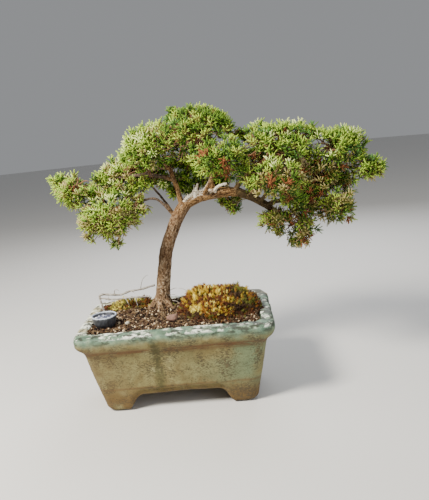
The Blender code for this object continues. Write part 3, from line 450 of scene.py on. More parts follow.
def pot_finish():
    """Weathered stoneware: cream and pale green, stained ochre, with a worn green glaze on the rim."""
    paint = Paint("weathered_stoneware")
    x, y, z = (paint.axis(k) for k in range(3))
    broad = paint.grain(46, 3)
    patchy = paint.grain(17, 5, shift=40)
    fine = paint.grain(4.5, 5, shift=90)
    paint.start(
        patchy, (0.28, (0.12, 0.08, 0.028)), (0.42, (0.19, 0.148, 0.055)), (0.58, (0.255, 0.222, 0.09)),
        (0.75, (0.37, 0.34, 0.165)),
    )
    greener = (x.rises(-10, 112) * 0.85 + 0.1) * broad.rises(0.33, 0.58)
    paint.cover(greener, (0.135, 0.185, 0.10))
    stained = (paint.grain(30, 5, shift=77) * 0.7 + fine * 0.3).rises(0.5, 0.6)
    paint.cover(stained * 0.5, (0.20, 0.15, 0.055))
    # Ochre at the feet and the lips, and along the groove under the rim
    low = z.rises(40, 12) * paint.grain(24, 4, shift=7).rises(0.2, 0.44)
    paint.cover(low * 0.9, (0.125, 0.068, 0.02))
    lip = z.near(24.5, 5.5) * y.rises(-55, -60) * x.near(0, 76).rises(0.0, 0.15)
    paint.cover(lip * patchy.rises(0.3, 0.6) * 0.8, (0.42, 0.33, 0.10))
    streaky = paint.grain(9, 5, stretch=(0.22, 0.22, 1.6), shift=20).rises(0.3, 0.5)
    groove = (z.near(80, 8) * 1.2 + z.near(30.5, 3) * 0.7) * streaky
    paint.cover(groove * 0.8, (0.12, 0.055, 0.022))
    # Dirt in the glaze: a fine dark grit, thicker in some places
    thick = paint.grain(21, 4, shift=60).rises(0.36, 0.66)
    grit = paint.grain(1.7, 5, stretch=(0.6, 0.7, 1.1), shift=15, roughness=0.74)
    gritty = (grit + thick * 0.09).rises(0.535, 0.6)
    paint.cover(gritty * (0.42 + thick * 0.44), (0.065, 0.05, 0.028))
    specks = paint.grain(9, 3, shift=61).rises(0.4, 0.7) * 0.3 + 0.06 - paint.cells(2.3)
    specks = specks.rises(0.0, 0.09)
    paint.cover(specks * 0.7, (0.035, 0.03, 0.018))
    blotches = (fine * 0.55 + patchy * 0.45).rises(0.54, 0.66) * z.rises(96, 64)
    paint.cover(blotches * 0.6, (0.12, 0.09, 0.04))
    paint.cover(x.rises(-40, -105) * broad.rises(0.3, 0.6) * 0.4, (0.16, 0.105, 0.045))
    # The mossy run down the front
    run = (x + fine * 12).near(-15.5, 9) * y.rises(-20, -40)
    run = run * paint.grain(7, 5, shift=11).rises(0.34, 0.54)
    paint.cover(run * z.rises(12, 30) * 0.8, (0.055, 0.052, 0.018))
    # The rim: green glaze, white deposits and black dirt
    glazed = (z + patchy * 10).rises(93, 104)
    glaze = paint.ramp(
        paint.grain(10, 5, shift=33), (0.3, (0.045, 0.092, 0.065)), (0.5, (0.10, 0.18, 0.125)),
        (0.7, (0.21, 0.285, 0.185)),
    )
    paint.cover(glazed * 0.9, glaze)
    pale_back = (y.rises(40, 56) + x.rises(-94, -106) * y.rises(-62, -40)).rises(0.0, 0.9) * glazed
    paint.cover(pale_back * 0.85, (0.42, 0.37, 0.23))
    crust = paint.grain(8, 6, stretch=(0.55, 0.7, 1), shift=70, roughness=0.64)
    crusted = (crust - x.rises(30, 100) * 0.05).rises(0.48, 0.55) * z.rises(97.5, 100.5)
    paint.cover(crusted * 0.95, (0.80, 0.83, 0.72))
    dirt = paint.grain(6.5, 6, stretch=(0.6, 0.7, 1.5), shift=25, roughness=0.66)
    dirt = (dirt + x.rises(10, 105) * 0.06).rises(0.51, 0.59)
    paint.cover(dirt * z.rises(88, 99) * 0.9, (0.028, 0.03, 0.02))
    inside = (x.near(0, 99).rises(0.0, 0.03) * y.near(0, 59).rises(0.0, 0.05)) * z.rises(100.5, 102.5)
    paint.cover(inside * fine.rises(0.3, 0.6) * 0.6, (0.10, 0.065, 0.035))
    roughness = 0.85 - glazed * 0.3 + crusted * 0.2
    relief = fine * 0.5 + grit * 0.4 + crusted * 0.35
    return paint.coat(roughness, relief, 1.2, 0.7)


def bark_finish():
    """Flaky bark: dark in its cracks, tan on its plates, redder and then darker along the boughs."""
    paint = Paint("flaky_bark", 0.9, 0.2)
    x, y, z = (paint.axis(k) for k in range(3))
    relief = paint.attribute("relief")
    mottled = paint.grain(3.2, 5)
    paint.start(
        relief * 0.8 + (mottled - 0.5) * 1.1 + 0.08, (0.16, (0.028, 0.015, 0.008)),
        (0.4, (0.115, 0.066, 0.034)), (0.62, (0.25, 0.16, 0.088)), (0.92, (0.50, 0.39, 0.26)),
    )
    worn = paint.grain(7, 4, shift=64).rises(0.52, 0.66)
    paint.cover(worn * 0.4, (0.07, 0.034, 0.016))
    red = paint.ramp(
        relief + (mottled - 0.5) * 0.6, (0.15, (0.032, 0.014, 0.006)), (0.5, (0.14, 0.07, 0.027)),
        (0.85, (0.29, 0.172, 0.07)),
    )
    # Painted shade: the trunk darker higher up, under the crown
    paint.cover(z.rises(128, 175) * 0.4, (0.085, 0.04, 0.018))
    reddish = z.rises(214, 238) * paint.grain(12, 2, shift=5).rises(0.3, 0.5)
    paint.cover(reddish, red)
    # The left bough and the thin limbs to the left masses: their own dark grey-brown, deepened with
    # painted shade
    left = x.rises(7, -3) * z.rises(212, 224)
    greyed_and_shaded = paint.ramp(mottled, (0.35, (0.035, 0.024, 0.018)), (0.65, (0.19, 0.14, 0.11)))
    paint.cover(left * 0.85, greyed_and_shaded)
    # Past the bend the bough is dark, with a dull green bloom
    bloom = paint.ramp(mottled, (0.3, (0.022, 0.014, 0.008)), (0.7, (0.12, 0.085, 0.035)))
    paint.cover(x.rises(79, 91) * 0.85, bloom)
    # Bleached wood where bark has gone from the top of the bough
    top = paint.up() - y.rises(4, 18) * 0.5
    bare = top.rises(0.1, 0.5) * x.near(38, 27).rises(0.0, 0.3) * z.rises(222, 231)
    bare = bare * (paint.grain(6, 4, stretch=(0.4, 1, 1), shift=50) + bare * 0.1).rises(0.47, 0.55)
    bleached = paint.ramp(mottled, (0.35, (0.34, 0.25, 0.17)), (0.6, (0.70, 0.62, 0.50)))
    paint.cover(bare, bleached)
    rough = paint.grain(0.9, 4, stretch=(1, 1, 0.35)) * 0.6 + relief * 0.4
    return paint.coat(None, rough, 0.5, 0.6)


def grained_finish(name, grain, stops, depth=0.4, strength=0.6, roughness=0.85, specular=0.25):
    """A matt finish that runs through the stops by its grain, with a bump where it has depth."""
    paint = Paint(name, roughness, specular)
    grain = paint.grain(*grain)
    paint.start(grain, *stops)
    return paint.coat(None, grain if depth else None, depth, strength)


def plain_finish(name, colour, spread, size):
    """A mottled matt finish round one colour."""
    darker, lighter = (tuple(min(1.0, c * (1 + k)) for c in colour) for k in (-spread, spread))
    return grained_finish(name, (size, 4), ((0.3, darker), (0.7, lighter)), 0.3, 0.4, 0.9)


def dead_wood_finish():
    stops = ((0.3, (0.20, 0.14, 0.09)), (0.46, (0.60, 0.52, 0.40)), (0.62, (0.90, 0.85, 0.74)))
    return grained_finish("bleached_wood", (1.1, 5, (0.35, 1, 0.6)), stops)


def grey_twig_finish():
    stops = ((0.3, (0.10, 0.085, 0.07)), (0.5, (0.30, 0.27, 0.23)), (0.7, (0.56, 0.53, 0.47)))
    return grained_finish("grey_twig", (2.2, 5, (0.5, 1, 1)), stops)


def twig_finish():
    stops = ((0.3, (0.12, 0.05, 0.025)), (0.5, (0.26, 0.13, 0.065)), (0.7, (0.44, 0.32, 0.20)))
    return grained_finish("young_twig", (14, 4), stops, depth=0)


def soil_finish():
    stops = ((0.35, (0.018, 0.011, 0.007)), (0.55, (0.07, 0.04, 0.022)), (0.7, (0.17, 0.10, 0.06)))
    return grained_finish("soil_bed", (2.2, 6), stops, 1.5, 0.8, 0.95, 0.15)


def cup_finish():
    """Worn charcoal gloss, pale and scuffed at the rim."""
    paint = Paint("worn_charcoal", 0.4, 0.5)
    z = paint.axis(2)
    scuffs = paint.grain(2.6, 5, stretch=(1, 1, 0.5))
    paint.start(scuffs, (0.35, (0.022, 0.024, 0.03)), (0.7, (0.075, 0.08, 0.095)))
    top = (z + scuffs * 1.6).rises(SOIL_TOP / MM + 13.6, SOIL_TOP / MM + 14.6)
    paint.cover(top, (0.52, 0.57, 0.66))
    return paint.coat(0.3 + scuffs * 0.35, scuffs, 0.2, 0.3)


def feed_finish():
    """What fills the cup: wet and dark, with a pale crust that shines."""
    paint = Paint("wet_feed", 0.2, 0.6)
    crust = paint.grain(4.2, 5, roughness=0.6)
    paint.start(
        crust, (0.4, (0.016, 0.018, 0.05)), (0.5, (0.10, 0.11, 0.19)), (0.56, (0.66, 0.69, 0.76)),
        (0.7, (0.80, 0.82, 0.86)),
    )
    return paint.coat(0.15 + crust * 0.4, crust, 1.0, 0.6)


def placed(name, data):
    """An object of the data, in the scene."""
    obj = bpy.data.objects.new(name, data)
    bpy.context.scene.collection.objects.link(obj)
    return obj


def piece(name, mesh, finish, slot, *nodes):
    """An object of the finished mesh that stands for these nodes of the part."""
    obj = placed(name, mesh)
    mesh.materials.clear()
    mesh.materials.append(finish)
    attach(obj, "root")
    if nodes:
        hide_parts(*nodes)
    return obj


def mesh_of(name, bm, smooth=True):
    """The mesh of a bmesh, which is freed."""
    bmesh.ops.recalc_face_normals(bm, faces=bm.faces)
    mesh = bpy.data.meshes.new(name)
    bm.to_mesh(mesh)
    bm.free()
    if smooth:
        mesh.shade_smooth()
    return mesh


def mesh_of_arrays(name, points, faces):
    """A mesh of triangles from arrays of points, in millimetres from the pot's middle, and faces."""
    mesh = bpy.data.meshes.new(name)
    mesh.vertices.add(len(points))
    mesh.vertices.foreach_set("co", there(points).astype(np.float32).ravel())
    mesh.loops.add(3 * len(faces))
    mesh.loops.foreach_set("vertex_index", faces.astype(np.int32).ravel())
    mesh.polygons.add(len(faces))
    mesh.polygons.foreach_set("loop_start", np.arange(0, 3 * len(faces), 3, dtype=np.int32))
    mesh.update(calc_edges=True)
    return mesh


def scatter(template, frames):
    """A copy of the template's points and faces under each frame, joined."""
    points, faces = template
    moved = np.einsum("nij,kj->nki", frames[:, :3, :3], points) + frames[:, None, :3, 3]
    shifted = faces[None] + len(points) * np.arange(len(frames))[:, None, None]
    return moved.reshape(-1, 3), shifted.reshape(-1, 3)


def joined(parts):
    """Several (points, faces) pairs as one."""
    count = 0
    faces = []
    for points, triangles in parts:
        faces.append(triangles + count)
        count += len(points)
    return np.concatenate([p for p, _ in parts]), np.concatenate(faces)


def scattered_pieces(name, parts, finish, slot, *nodes):
    """Pieces of a kind, made of scattered parts, each under the most triangles that a piece has."""
    groups, count = [[]], 0
    for part in parts:
        if count + len(part[1]) > MOST_TRIANGLES:
            groups.append([])
            count = 0
        groups[-1].append(part)
        count += len(part[1])
    for i, group in enumerate(groups):
        label = name if len(groups) == 1 else f"{name}_{i + 1}"
        piece(label, mesh_of_arrays(label, *joined(group)), finish, slot, *(nodes if i == 0 else ()))


def unit(vectors):
    return vectors / np.maximum(np.linalg.norm(vectors, axis=-1, keepdims=True), 1e-9)


def square_to(ways):
    """Two directions for each way, square to it and to each other."""
    helper = np.where(np.abs(ways[:, 2:]) > 0.9, [[1.0, 0, 0]], [[0, 0, 1.0]])
    side = unit(np.cross(helper, ways))
    return side, np.cross(ways, side)


def frames_for(items, rng):
    """Frames that stand an upright template at each item's place, along its way, in its size."""
    spots, ways, sizes = (np.array([item[k] for item in items], float) for k in range(3))
    rolls = np.array([rng.uniform(0, TURN) for _ in items])
    ways = unit(ways)
    side, front = square_to(ways)
    cos, sin, scale = np.cos(rolls)[:, None], np.sin(rolls)[:, None], sizes[:, None]
    frames = np.zeros((len(items), 3, 4))
    frames[:, :, 0] = (side * cos + front * sin) * scale
    frames[:, :, 1] = (front * cos - side * sin) * scale
    frames[:, :, 2] = ways * scale
    frames[:, :, 3] = spots
    return frames


def planted(templates, items, rng):
    """Each template in turn, with the frames of its share of the items."""
    for k, template in enumerate(templates):
        mine = items[k::len(templates)]
        if mine:
            yield template, frames_for(mine, rng)


def tubes(paths, radii, sides=3):
    """Thin limbs along many paths of the same number of points, as one set of points and faces."""
    paths, radii = np.asarray(paths, float), np.asarray(radii, float)
    count, steps, _ = paths.shape
    side, front = square_to(unit(paths[:, -1] - paths[:, 0]))
    angles = np.arange(sides) * 2 * math.pi / sides
    ring = side[:, None] * np.cos(angles)[:, None] + front[:, None] * np.sin(angles)[:, None]
    points = paths[:, :, None] + ring[:, None] * radii[:, :, None, None]
    faces = []
    for i in range(steps - 1):
        for k in range(sides):
            a, b = i * sides + k, i * sides + (k + 1) % sides
            faces += [(a, b, b + sides), (a, b + sides, a + sides)]
    last = (steps - 1) * sides
    faces += [(last, last + k, last + k + 1) for k in range(1, sides - 1)]
    faces += [(0, k + 1, k) for k in range(1, sides - 1)]
    faces = np.array(faces)[None] + steps * sides * np.arange(count)[:, None, None]
    return points.reshape(-1, 3), faces.reshape(-1, 3)


def spike(seat, way, reach, wide, spread):
    """A slim three-sided point that stands in its stem."""
    side = way.orthogonal().normalized() * wide
    front = way.cross(side) * spread
    corners = (seat + way * reach, seat + side, seat - side * 0.5 + front, seat - side * 0.5 - front)
    return np.array(corners), np.array([(0, 1, 2), (0, 2, 3), (0, 3, 1)])


def smooth_path(points, steps):
    """Points along a smooth curve through the given ones, with this many steps for each span."""
    points = [Vector(p) for p in points]
    ends = [points[0] * 2 - points[1], *points, points[-1] * 2 - points[-2]]
    path = []
    for a, b, c, d in zip(ends, ends[1:], ends[2:], ends[3:]):
        for i in range(steps):
            t = i / steps
            path.append(
                0.5 * (2 * b + (c - a) * t + (2 * a - 5 * b + 4 * c - d) * t**2
                       + (3 * b - a - 3 * c + d) * t**3)
            )
    return [*path, points[-1]]


def smooth_radii(radii, steps):
    """Radii that go with smooth_path's points."""
    found = []
    for a, b in zip(radii, radii[1:]):
        found += [a + (b - a) * i / steps for i in range(steps)]
    return [*found, radii[-1]]


def path_at(path, radii, share):
    """Place, direction and radius at a share of the way along a limb."""
    lengths = [(b - a).length for a, b in zip(path, path[1:])]
    left = share * sum(lengths)
    for i, length in enumerate(lengths):
        if left <= length or i == len(lengths) - 1:
            t = min(1.0, left / length)
            step = path[i + 1] - path[i]
            return path[i] + step * t, step.normalized(), radii[i] + (radii[i + 1] - radii[i]) * t
        left -= length


def bent_limb(parent, share, end, start_radius, end_radius, rise):
    """The line of a limb that leaves its parent's side, slants along it, and bends to its end."""
    place, along, _ = path_at(*parent, share)
    way = (end - place).normalized()
    side = (way - along * way.dot(along)).normalized()
    slant = math.copysign(SIDE_SLANT, way.dot(along) - BACK_LIMIT)
    first = (side + along * slant).normalized()
    length = (end - place).length
    bend = place + first * BEND_SHARE * length + Vector((0, 0, rise))
    count = max(4, round(length / LIMB_STEP))
    path, taper = [], []
    for i in range(count + 1):
        t = i / count
        path.append(place * (1 - t) ** 2 + bend * 2 * t * (1 - t) + end * t**2)
        taper.append(start_radius + (end_radius - start_radius) * t)
    return path, taper


def mean_size(name):
    """The radius of the ball that holds as much as this mass."""
    half = MASSES[name][1]
    return (half[0] * half[1] * half[2]) ** (1 / 3)


def borders(name):
    """The flat borders to this mass's neighbours: how far from its centre, and which way."""
    centre = Vector(MASSES[name][0])
    own = mean_size(name) ** 2
    found = []
    for other, (place, _, _) in MASSES.items():
        if other != name:
            step = Vector(place) - centre
            distance = (step.length_squared + own - mean_size(other) ** 2) / (2 * step.length)
            found.append((distance - NEIGHBOUR_GAP, step.normalized()))
    return found


def limb_lines():
    """Every limb's line and radii by name, in growing order, each worked out from its parent."""
    lines = {"trunk": (smooth_path(TRUNK_POINTS, 2), smooth_radii(TRUNK_RADII, 2))}
    for name, (points, radii) in DRAWN_LIMBS.items():
        lines[name] = (smooth_path(points, 2), smooth_radii(radii, 2))
    for name, (parent, share, end, start_radius, end_radius, rise) in CARRIERS.items():
        lines[name] = bent_limb(lines[parent], share, Vector(end), start_radius, end_radius, rise)
    for name, (centre, half, feed) in MASSES.items():
        if feed[1] == 1.0:
            continue
        parent, share, start_radius, end_radius, rise = feed
        place, _, thick = path_at(*lines[parent], share)
        middle = Vector(centre)
        back = place - middle
        depth = math.sqrt(sum((back[k] / half[k]) ** 2 for k in range(3)))
        entry = min(ENTRY_SHARE / depth, 1 - (thick + LIMB_LEAST) / back.length)
        edges = borders(name)
        while any((back * entry).dot(way) >= distance - start_radius for distance, way in edges):
            entry *= ENTRY_STEP
        end = middle + back * entry
        lines["limb_" + name] = bent_limb(lines[parent], share, end, start_radius, end_radius, rise)
    for name, slim in SLIMMER.items():
        path, radii = lines[name]
        lines[name] = (path, [radius * slim for radius in radii])
    return lines


def mass_spine(name, lines):
    """The stem of a mass, from its limb's end through its heart, and its radii."""
    centre, _, feed = MASSES[name]
    centre = Vector(centre)
    path, radii = lines[feed[0] if feed[1] == 1.0 else "limb_" + name]
    onward = (path[-1] - path[-2]).normalized()
    entry = path[-1]
    across = centre - entry
    straight = entry + onward * STEM_STRAIGHT * across.length
    bend = entry + onward * STEM_BEND[0] * across.length + across * STEM_BEND[1]
    spine = [entry, straight, bend, centre, centre + across * STEM_PAST_HEART]
    return spine, [radii[-1] * share for share in STEM_TAPER]


def spread_directions(count, rng):
    """Evenly spread directions over a sphere, from a golden-angle spiral."""
    turn = rng.uniform(0, 2 * math.pi)
    for i in range(count):
        z = 1 - 2 * (i + 0.5) / count
        angle = turn + i * math.pi * (3 - math.sqrt(5))
        flat = math.sqrt(1 - z * z)
        yield Vector((flat * math.cos(angle), flat * math.sin(angle), z))


def nearest_on(path, point):
    """The point of the path that lies nearest."""
    best = None
    for a, b in zip(path, path[1:]):
        t = min(1.0, max(0.0, (point - a).dot(b - a) / (b - a).length_squared))
        spot = a.lerp(b, t)
        if best is None or (spot - point).length < (best - point).length:
            best = spot
    return best


def surface_area(half):
    """About how much skin an ellipsoid of these half sizes has."""
    power = 1.6
    a, b, c = (h**power for h in half)
    return 4 * math.pi * ((a * b + a * c + b * c) / 3) ** (1 / power)


class Crown:
    """The growth of the foliage: stems, twigs and branchlets as paths, and shoots."""

    def __init__(self, lines):
        self.lines = lines
        self.stems, self.twigs, self.branchlets, self.shoots = [], [], [], []
        segments = []
        for path, radii in lines.values():
            segments += list(zip(path, path[1:], radii))
        self.starts = np.array([a for a, _, _ in segments])
        self.steps = np.array([b - a for a, b, _ in segments])
        self.thick = np.array([r for _, _, r in segments])
        self.centres = np.array([centre for centre, _, _ in MASSES.values()], float)
        self.halves = np.array([half for _, half, _ in MASSES.values()], float)

    def limb_clearance(self, point):
        """How far a point lies from the nearest limb's bark."""
        away = np.array(point) - self.starts
        t = np.clip((away * self.steps).sum(1) / (self.steps**2).sum(1), 0, 1)
        return (np.linalg.norm(away - self.steps * t[:, None], axis=1) - self.thick).min()

    def holds(self, points):
        """How strongly each mass holds each point: 1 at its centre, falling outwards."""
        away = (points[..., None, :] - self.centres) / self.halves
        return np.exp(-HOLD_FADE * (away**2).sum(-1))

    def skin(self, k, ways):
        """Where rays from mass k's centre leave the crown, with its normal there."""
        reaches = np.linspace(0.7, SWELL, 56)
        rays = ways * self.halves[k]
        points = self.centres[k] + rays[:, None] * reaches[:, None]
        holds = self.holds(points)
        outside = holds.sum(-1) < math.exp(-HOLD_FADE)
        for i in np.flatnonzero(outside.any(1)):
            first = outside[i].argmax()
            held = holds[i, first]
            if held[k] >= held.max():
                spot = points[i, first]
                normal = (held[:, None] * (spot - self.centres) / self.halves**2).sum(0)
                yield Vector(spot), Vector(normal).normalized()

    def grow(self, k, name):
        """One mass: its stem, shorter twigs than the source's, and tufts on its skin and inside."""
        centre, half = Vector(self.centres[k]), Vector(self.halves[k])
        spine, radii = mass_spine(name, self.lines)
        self.stems.append((spine, radii))
        rng = random.Random("foliage_" + name)
        count = max(TWIGS_LEAST, round(mean_size(name) ** 2 * TWIG_DENSITY))
        twigs = [self.twig(centre, half, way, spine, rng) for way in spread_directions(2 * count, rng)]
        self.twigs += twigs
        number = round(surface_area(half) / TUFT_SPACING**2 * THIN_MASSES.get(name, 1.0))
        ways = np.array(list(spread_directions(number, rng)))
        depth = DEEPER_SKINS.get(name, SKIN_DEPTH)
        for spot, normal in self.skin(k, ways):
            spot += normal * depth
            self.tuft(centre, spot, normal, 1.0, twigs, rng)
            if rng.random() < INNER_TUFTS:
                inner = centre.lerp(spot, rng.uniform(*INNER_REACH))
                self.tuft(centre, inner, normal, INNER_DEPTH, twigs, rng)
        for x, y, z, radius in KNOTS.get(name, ()):
            for way in spread_directions(round(4 * math.pi * radius**2 / TUFT_SPACING**2) + 3, rng):
                self.tuft(centre, Vector((x, y, z)) + way * radius, way, 1.0, twigs, rng)

    def twig(self, centre, half, way, spine, rng):
        """A twig from the stem towards the skin, bowed upwards."""
        out = Vector((way.x * half.x, way.y * half.y, way.z * half.z))
        tip = centre + out * rng.uniform(*TWIG_REACH)
        spot = nearest_on(spine, centre.lerp(tip, -TWIG_SETBACK))
        bow = Vector((rng.uniform(-3, 3), rng.uniform(-3, 3), rng.uniform(0, 6)))
        middle = spot.lerp(tip, 0.5) + bow
        before, after = spot.lerp(middle, 0.5) + bow * 0.2, middle.lerp(tip, 0.5) + bow * 0.15
        return [spot, before, middle, after, tip]

    def tuft(self, centre, spot, normal, depth, twigs, rng):
        """A branchlet that ends in a fan of shoots round its tip at this spot of the skin."""
        lumps = sum(rise * noise.noise(spot / size) for size, rise in SKIN_LUMPS)
        tip = spot + normal * (lumps * depth + rng.gauss(0, 2.0))
        if any(math.hypot(tip.x - x, tip.z - z) < radius for x, z, radius in OPENINGS):
            return
        if any(math.hypot(tip.x - x, tip.z - z) < radius and tip.y < y for x, z, radius, y in VIEWS):
            return
        if normal.z < UNDERSIDE and rng.random() < UNDERSIDE_GAPS:
            return
        wild = Vector((rng.gauss(0, 0.32), rng.gauss(0, 0.32), rng.gauss(0.28, 0.32)))
        aim = (normal + wild).normalized()
        length = TUFT_LENGTH * rng.uniform(0.75, 1.2)
        foot = tip - aim * length
        if self.limb_clearance(tip) < TIP_CLEARANCE or self.limb_clearance(foot) < FOOT_CLEARANCE:
            return
        twig = min(twigs, key=lambda path: (path[3] - foot).length)
        root = nearest_on(twig, foot.lerp(centre, 0.12))
        middle = root.lerp(foot, 0.55) + Vector((0, 0, 0.1 * (foot - root).length))
        self.branchlets.append([root, middle, foot, foot + aim * length * 0.6])
        dress = self.dress(tip, normal, depth, lumps, rng)
        self.shoots.append((foot + aim * length * 0.25, aim, length * 0.75, dress, depth))
        turn = rng.uniform(0, 2 * math.pi)
        side = aim.orthogonal().normalized()
        across = aim.cross(side)
        number = SIDE_SHOOTS if depth == 1.0 else INNER_SIDE_SHOOTS
        for i in range(number):
            share = 0.55 * i / number
            angle = turn + i * SIDE_TURN
            lean = math.radians(rng.uniform(34, 66))
            off = side * math.cos(angle) + across * math.sin(angle)
            direction = aim * math.cos(lean) + off * math.sin(lean) + Vector((0, 0, 0.12))
            reach = SHOOT_LENGTH * (1.0 - 0.35 * share) * rng.uniform(0.75, 1.2)
            # Painted shade: the lowest side shoots of a fresh or cool tuft wear the shaded dress
            worn = "shaded" if share < 0.15 and dress in ("fresh", "cool") else dress
            self.shoots.append((foot + aim * length * share, direction, reach, worn, depth))

    def dress(self, spot, facing, depth, lumps, rng):
        """What a tuft wears, with light and shade painted into its tones: lit on top, toward the lamp
        and on lumps, painted shade below, in hollows and inside, and dry in places.
        """
        draw = rng.random()
        for x, z, radius in BROWN_PATCHES:
            near = 1 - math.hypot(spot.x - x, spot.z - z) / (BROWN_REACH * radius)
            if near > 0 and draw < BROWN_SHARE * near:
                return "dead"
        # Tufts inside the crown: a few dead, most in painted shade
        if depth < 1:
            return pick(draw, "dead", 0.12, "shaded", 0.75, "olive")
        # Painted light: a tuft's light from how it faces the key lamp at the upper left front, lighter
        # on lumps and in painted shade in hollows
        light = 0.55 * facing.z - 0.4 * facing.x - 0.2 * facing.y
        light += 0.4 * noise.noise(spot * 0.05) + 0.09 * lumps + rng.gauss(0, 0.16)
        left = spot.x < 0
        middle = not left and spot.x < MIDDLE_END
        # Painted light and shade by region: darker at the far left and over most of the middle, lighter
        # elsewhere on the left, in the middle's back below its top, and at the upper right
        if left:
            light += 0.12 if spot.x > -85 else -0.3
        elif middle:
            light += 0.3 if spot.y > 15 and spot.z < 285 else -0.9
        elif spot.x < BROWN_END and spot.z < BROWN_TOP:
            if light > 0.5:
                return pick(draw, "dry", 0.25, "olive", 0.72, "fresh")
            return pick(draw, "dead", 0.08, "dry", 0.32, "dull", 0.74, "shaded")
        elif spot.x > 128 and spot.z > 280:
            light += 0.15
        # Painted highlight: the most lit tufts wear cream tips
        if light > BRIGHT_LIGHT:
            return pick(draw, "bright", 0.7 if spot.x < -40 and spot.z < 288 else 0.38, "fresh")
        if light > FRESH_LIGHT:
            if left:
                return pick(draw, "dry", 0.22, "fresh")
            return pick(draw, "fresh", 0.4 if middle else 0.82, "cool")
        if spot.z < 250:
            return pick(draw, "dry", 0.35, "olive", 0.85, "shaded")
        if light <= DEEP_SHADE:
            return pick(draw, "shaded", 0.6, "olive")
        if left:
            return pick(draw, "olive", 0.6, "shaded")
        return pick(draw, "olive", 0.3, "cool", 0.5, "shaded")


def shoot_template(rng, whorls):
    """A shoot of unit length, upright: a stem and whorls of three needles, old and young apart."""
    wide, spread = NEEDLE_WIDTH / SHOOT_LENGTH, math.sqrt(0.75)
    old, young = [], []
    for i in range(whorls + 1):
        share = (i + 0.5) / (whorls + 0.5)
        for k in range(3):
            around = (k + 0.5 * (i % 2) + rng.uniform(-0.12, 0.12)) * 2 * math.pi / 3
            lean = math.radians(62 - 42 * share) * rng.uniform(0.85, 1.15)
            reach = NEEDLE_LENGTH / SHOOT_LENGTH * (1.1 - 0.35 * share) * rng.uniform(0.85, 1.15)
            out = Vector((math.cos(around), math.sin(around), 0))
            way = out * math.sin(lean) + Vector((0, 0, math.cos(lean)))
            seat = Vector((0, 0, share * 0.9))
            (young if share > 0.55 else old).append(spike(seat, way, reach, wide, spread))
    stem = tubes([[(0, 0, 0), (0, 0, 0.9)]], [[0.03, 0.015]])
    return joined([stem, *old]), joined(young)


def make_foliage(lines):
    """Every mass's twigs and needles, joined by kind and tone."""
    crown = Crown(lines)
    for k, name in enumerate(MASSES):
        crown.grow(k, name)
    rng = random.Random(8)
    variants = [shoot_template(rng, whorls) for whorls in (4, 5, 5)]
    sparse = [shoot_template(rng, 3)]
    parts = {tone: [] for tone in TONES}
    for dress, (old_tone, young_tone) in DRESSES.items():
        for pool, deep in ((variants, False), (sparse, True)):
            chosen = [s for s in crown.shoots if s[3] == dress and (s[4] < 1) == deep]
            for (old, young), frames in planted(pool, chosen, rng):
                for start in range(0, len(frames), FRAMES_AT_ONCE):
                    some = frames[start:start + FRAMES_AT_ONCE]
                    parts[old_tone].append(scatter(old, some))
                    parts[young_tone].append(scatter(young, some))
    stands_for = ["foliage_" + name for name in MASSES]
    for tone, found in parts.items():
        finish = Paint("needles_" + tone, 0.7, 0.18, TONES[tone]).coat()
        scattered_pieces("needles_" + tone, found, finish, "needles", *stands_for)
        stands_for = ()
    wood = [
        tubes([spine for spine, _ in crown.stems], [radii for _, radii in crown.stems], 6),
        tubes(crown.twigs, [[1.1, 0.95, 0.8, 0.65, 0.5]] * len(crown.twigs), 5),
        tubes(crown.branchlets, [[0.6, 0.5, 0.42, 0.3]] * len(crown.branchlets), 3),
    ]
    scattered_pieces("twigs", wood, twig_finish(), "bark")


def limb_tube(bm, path, radii, resolution):
    """Adds a tapering round limb along the path to the bmesh."""
    curve = bpy.data.curves.new("limb", "CURVE")
    curve.dimensions = "3D"
    curve.bevel_depth = 1
    curve.bevel_resolution = resolution
    curve.use_fill_caps = True
    spline = curve.splines.new("POLY")
    spline.points.add(len(path) - 1)
    for point, place, radius in zip(spline.points, path, radii):
        point.co = (*here(place), 1)
        point.radius = radius * MM
    guide = placed("limb", curve)
    graph = bpy.context.evaluated_depsgraph_get()
    bm.from_mesh(guide.evaluated_get(graph).to_mesh())
    bpy.data.objects.remove(guide)


def remeshed(bm, voxel):
    """The closed shapes of a bmesh fused into one even mesh."""
    bmesh.ops.remove_doubles(bm, verts=bm.verts, dist=1e-6)
    obj = placed("fused", mesh_of("fused", bm))
    modifier = obj.modifiers.new("fuse", "REMESH")
    modifier.mode = "VOXEL"
    modifier.voxel_size = voxel * MM
    graph = bpy.context.evaluated_depsgraph_get()
    mesh = bpy.data.meshes.new_from_object(obj.evaluated_get(graph))
    bpy.data.objects.remove(obj)
    return mesh


def fused(lines, voxel, resolution=3):
    """The limbs along these lines as one even mesh."""
    bm = bmesh.new()
    for path, radii in lines:
        limb_tube(bm, path, radii, resolution)
    return remeshed(bm, voxel)


def coordinates(mesh):
    """A mesh's points in millimetres from the pot's middle, and its normals there."""
    points = np.zeros(3 * len(mesh.vertices), np.float32)
    mesh.vertices.foreach_get("co", points)
    normals = np.array([v.normal for v in mesh.vertices])
    return (points.reshape(-1, 3) - np.array(POT_CENTRE)) / MM, normals


def move_points(mesh, points):
    mesh.vertices.foreach_set("co", there(points).astype(np.float32).ravel())
    mesh.update()
    mesh.shade_smooth()


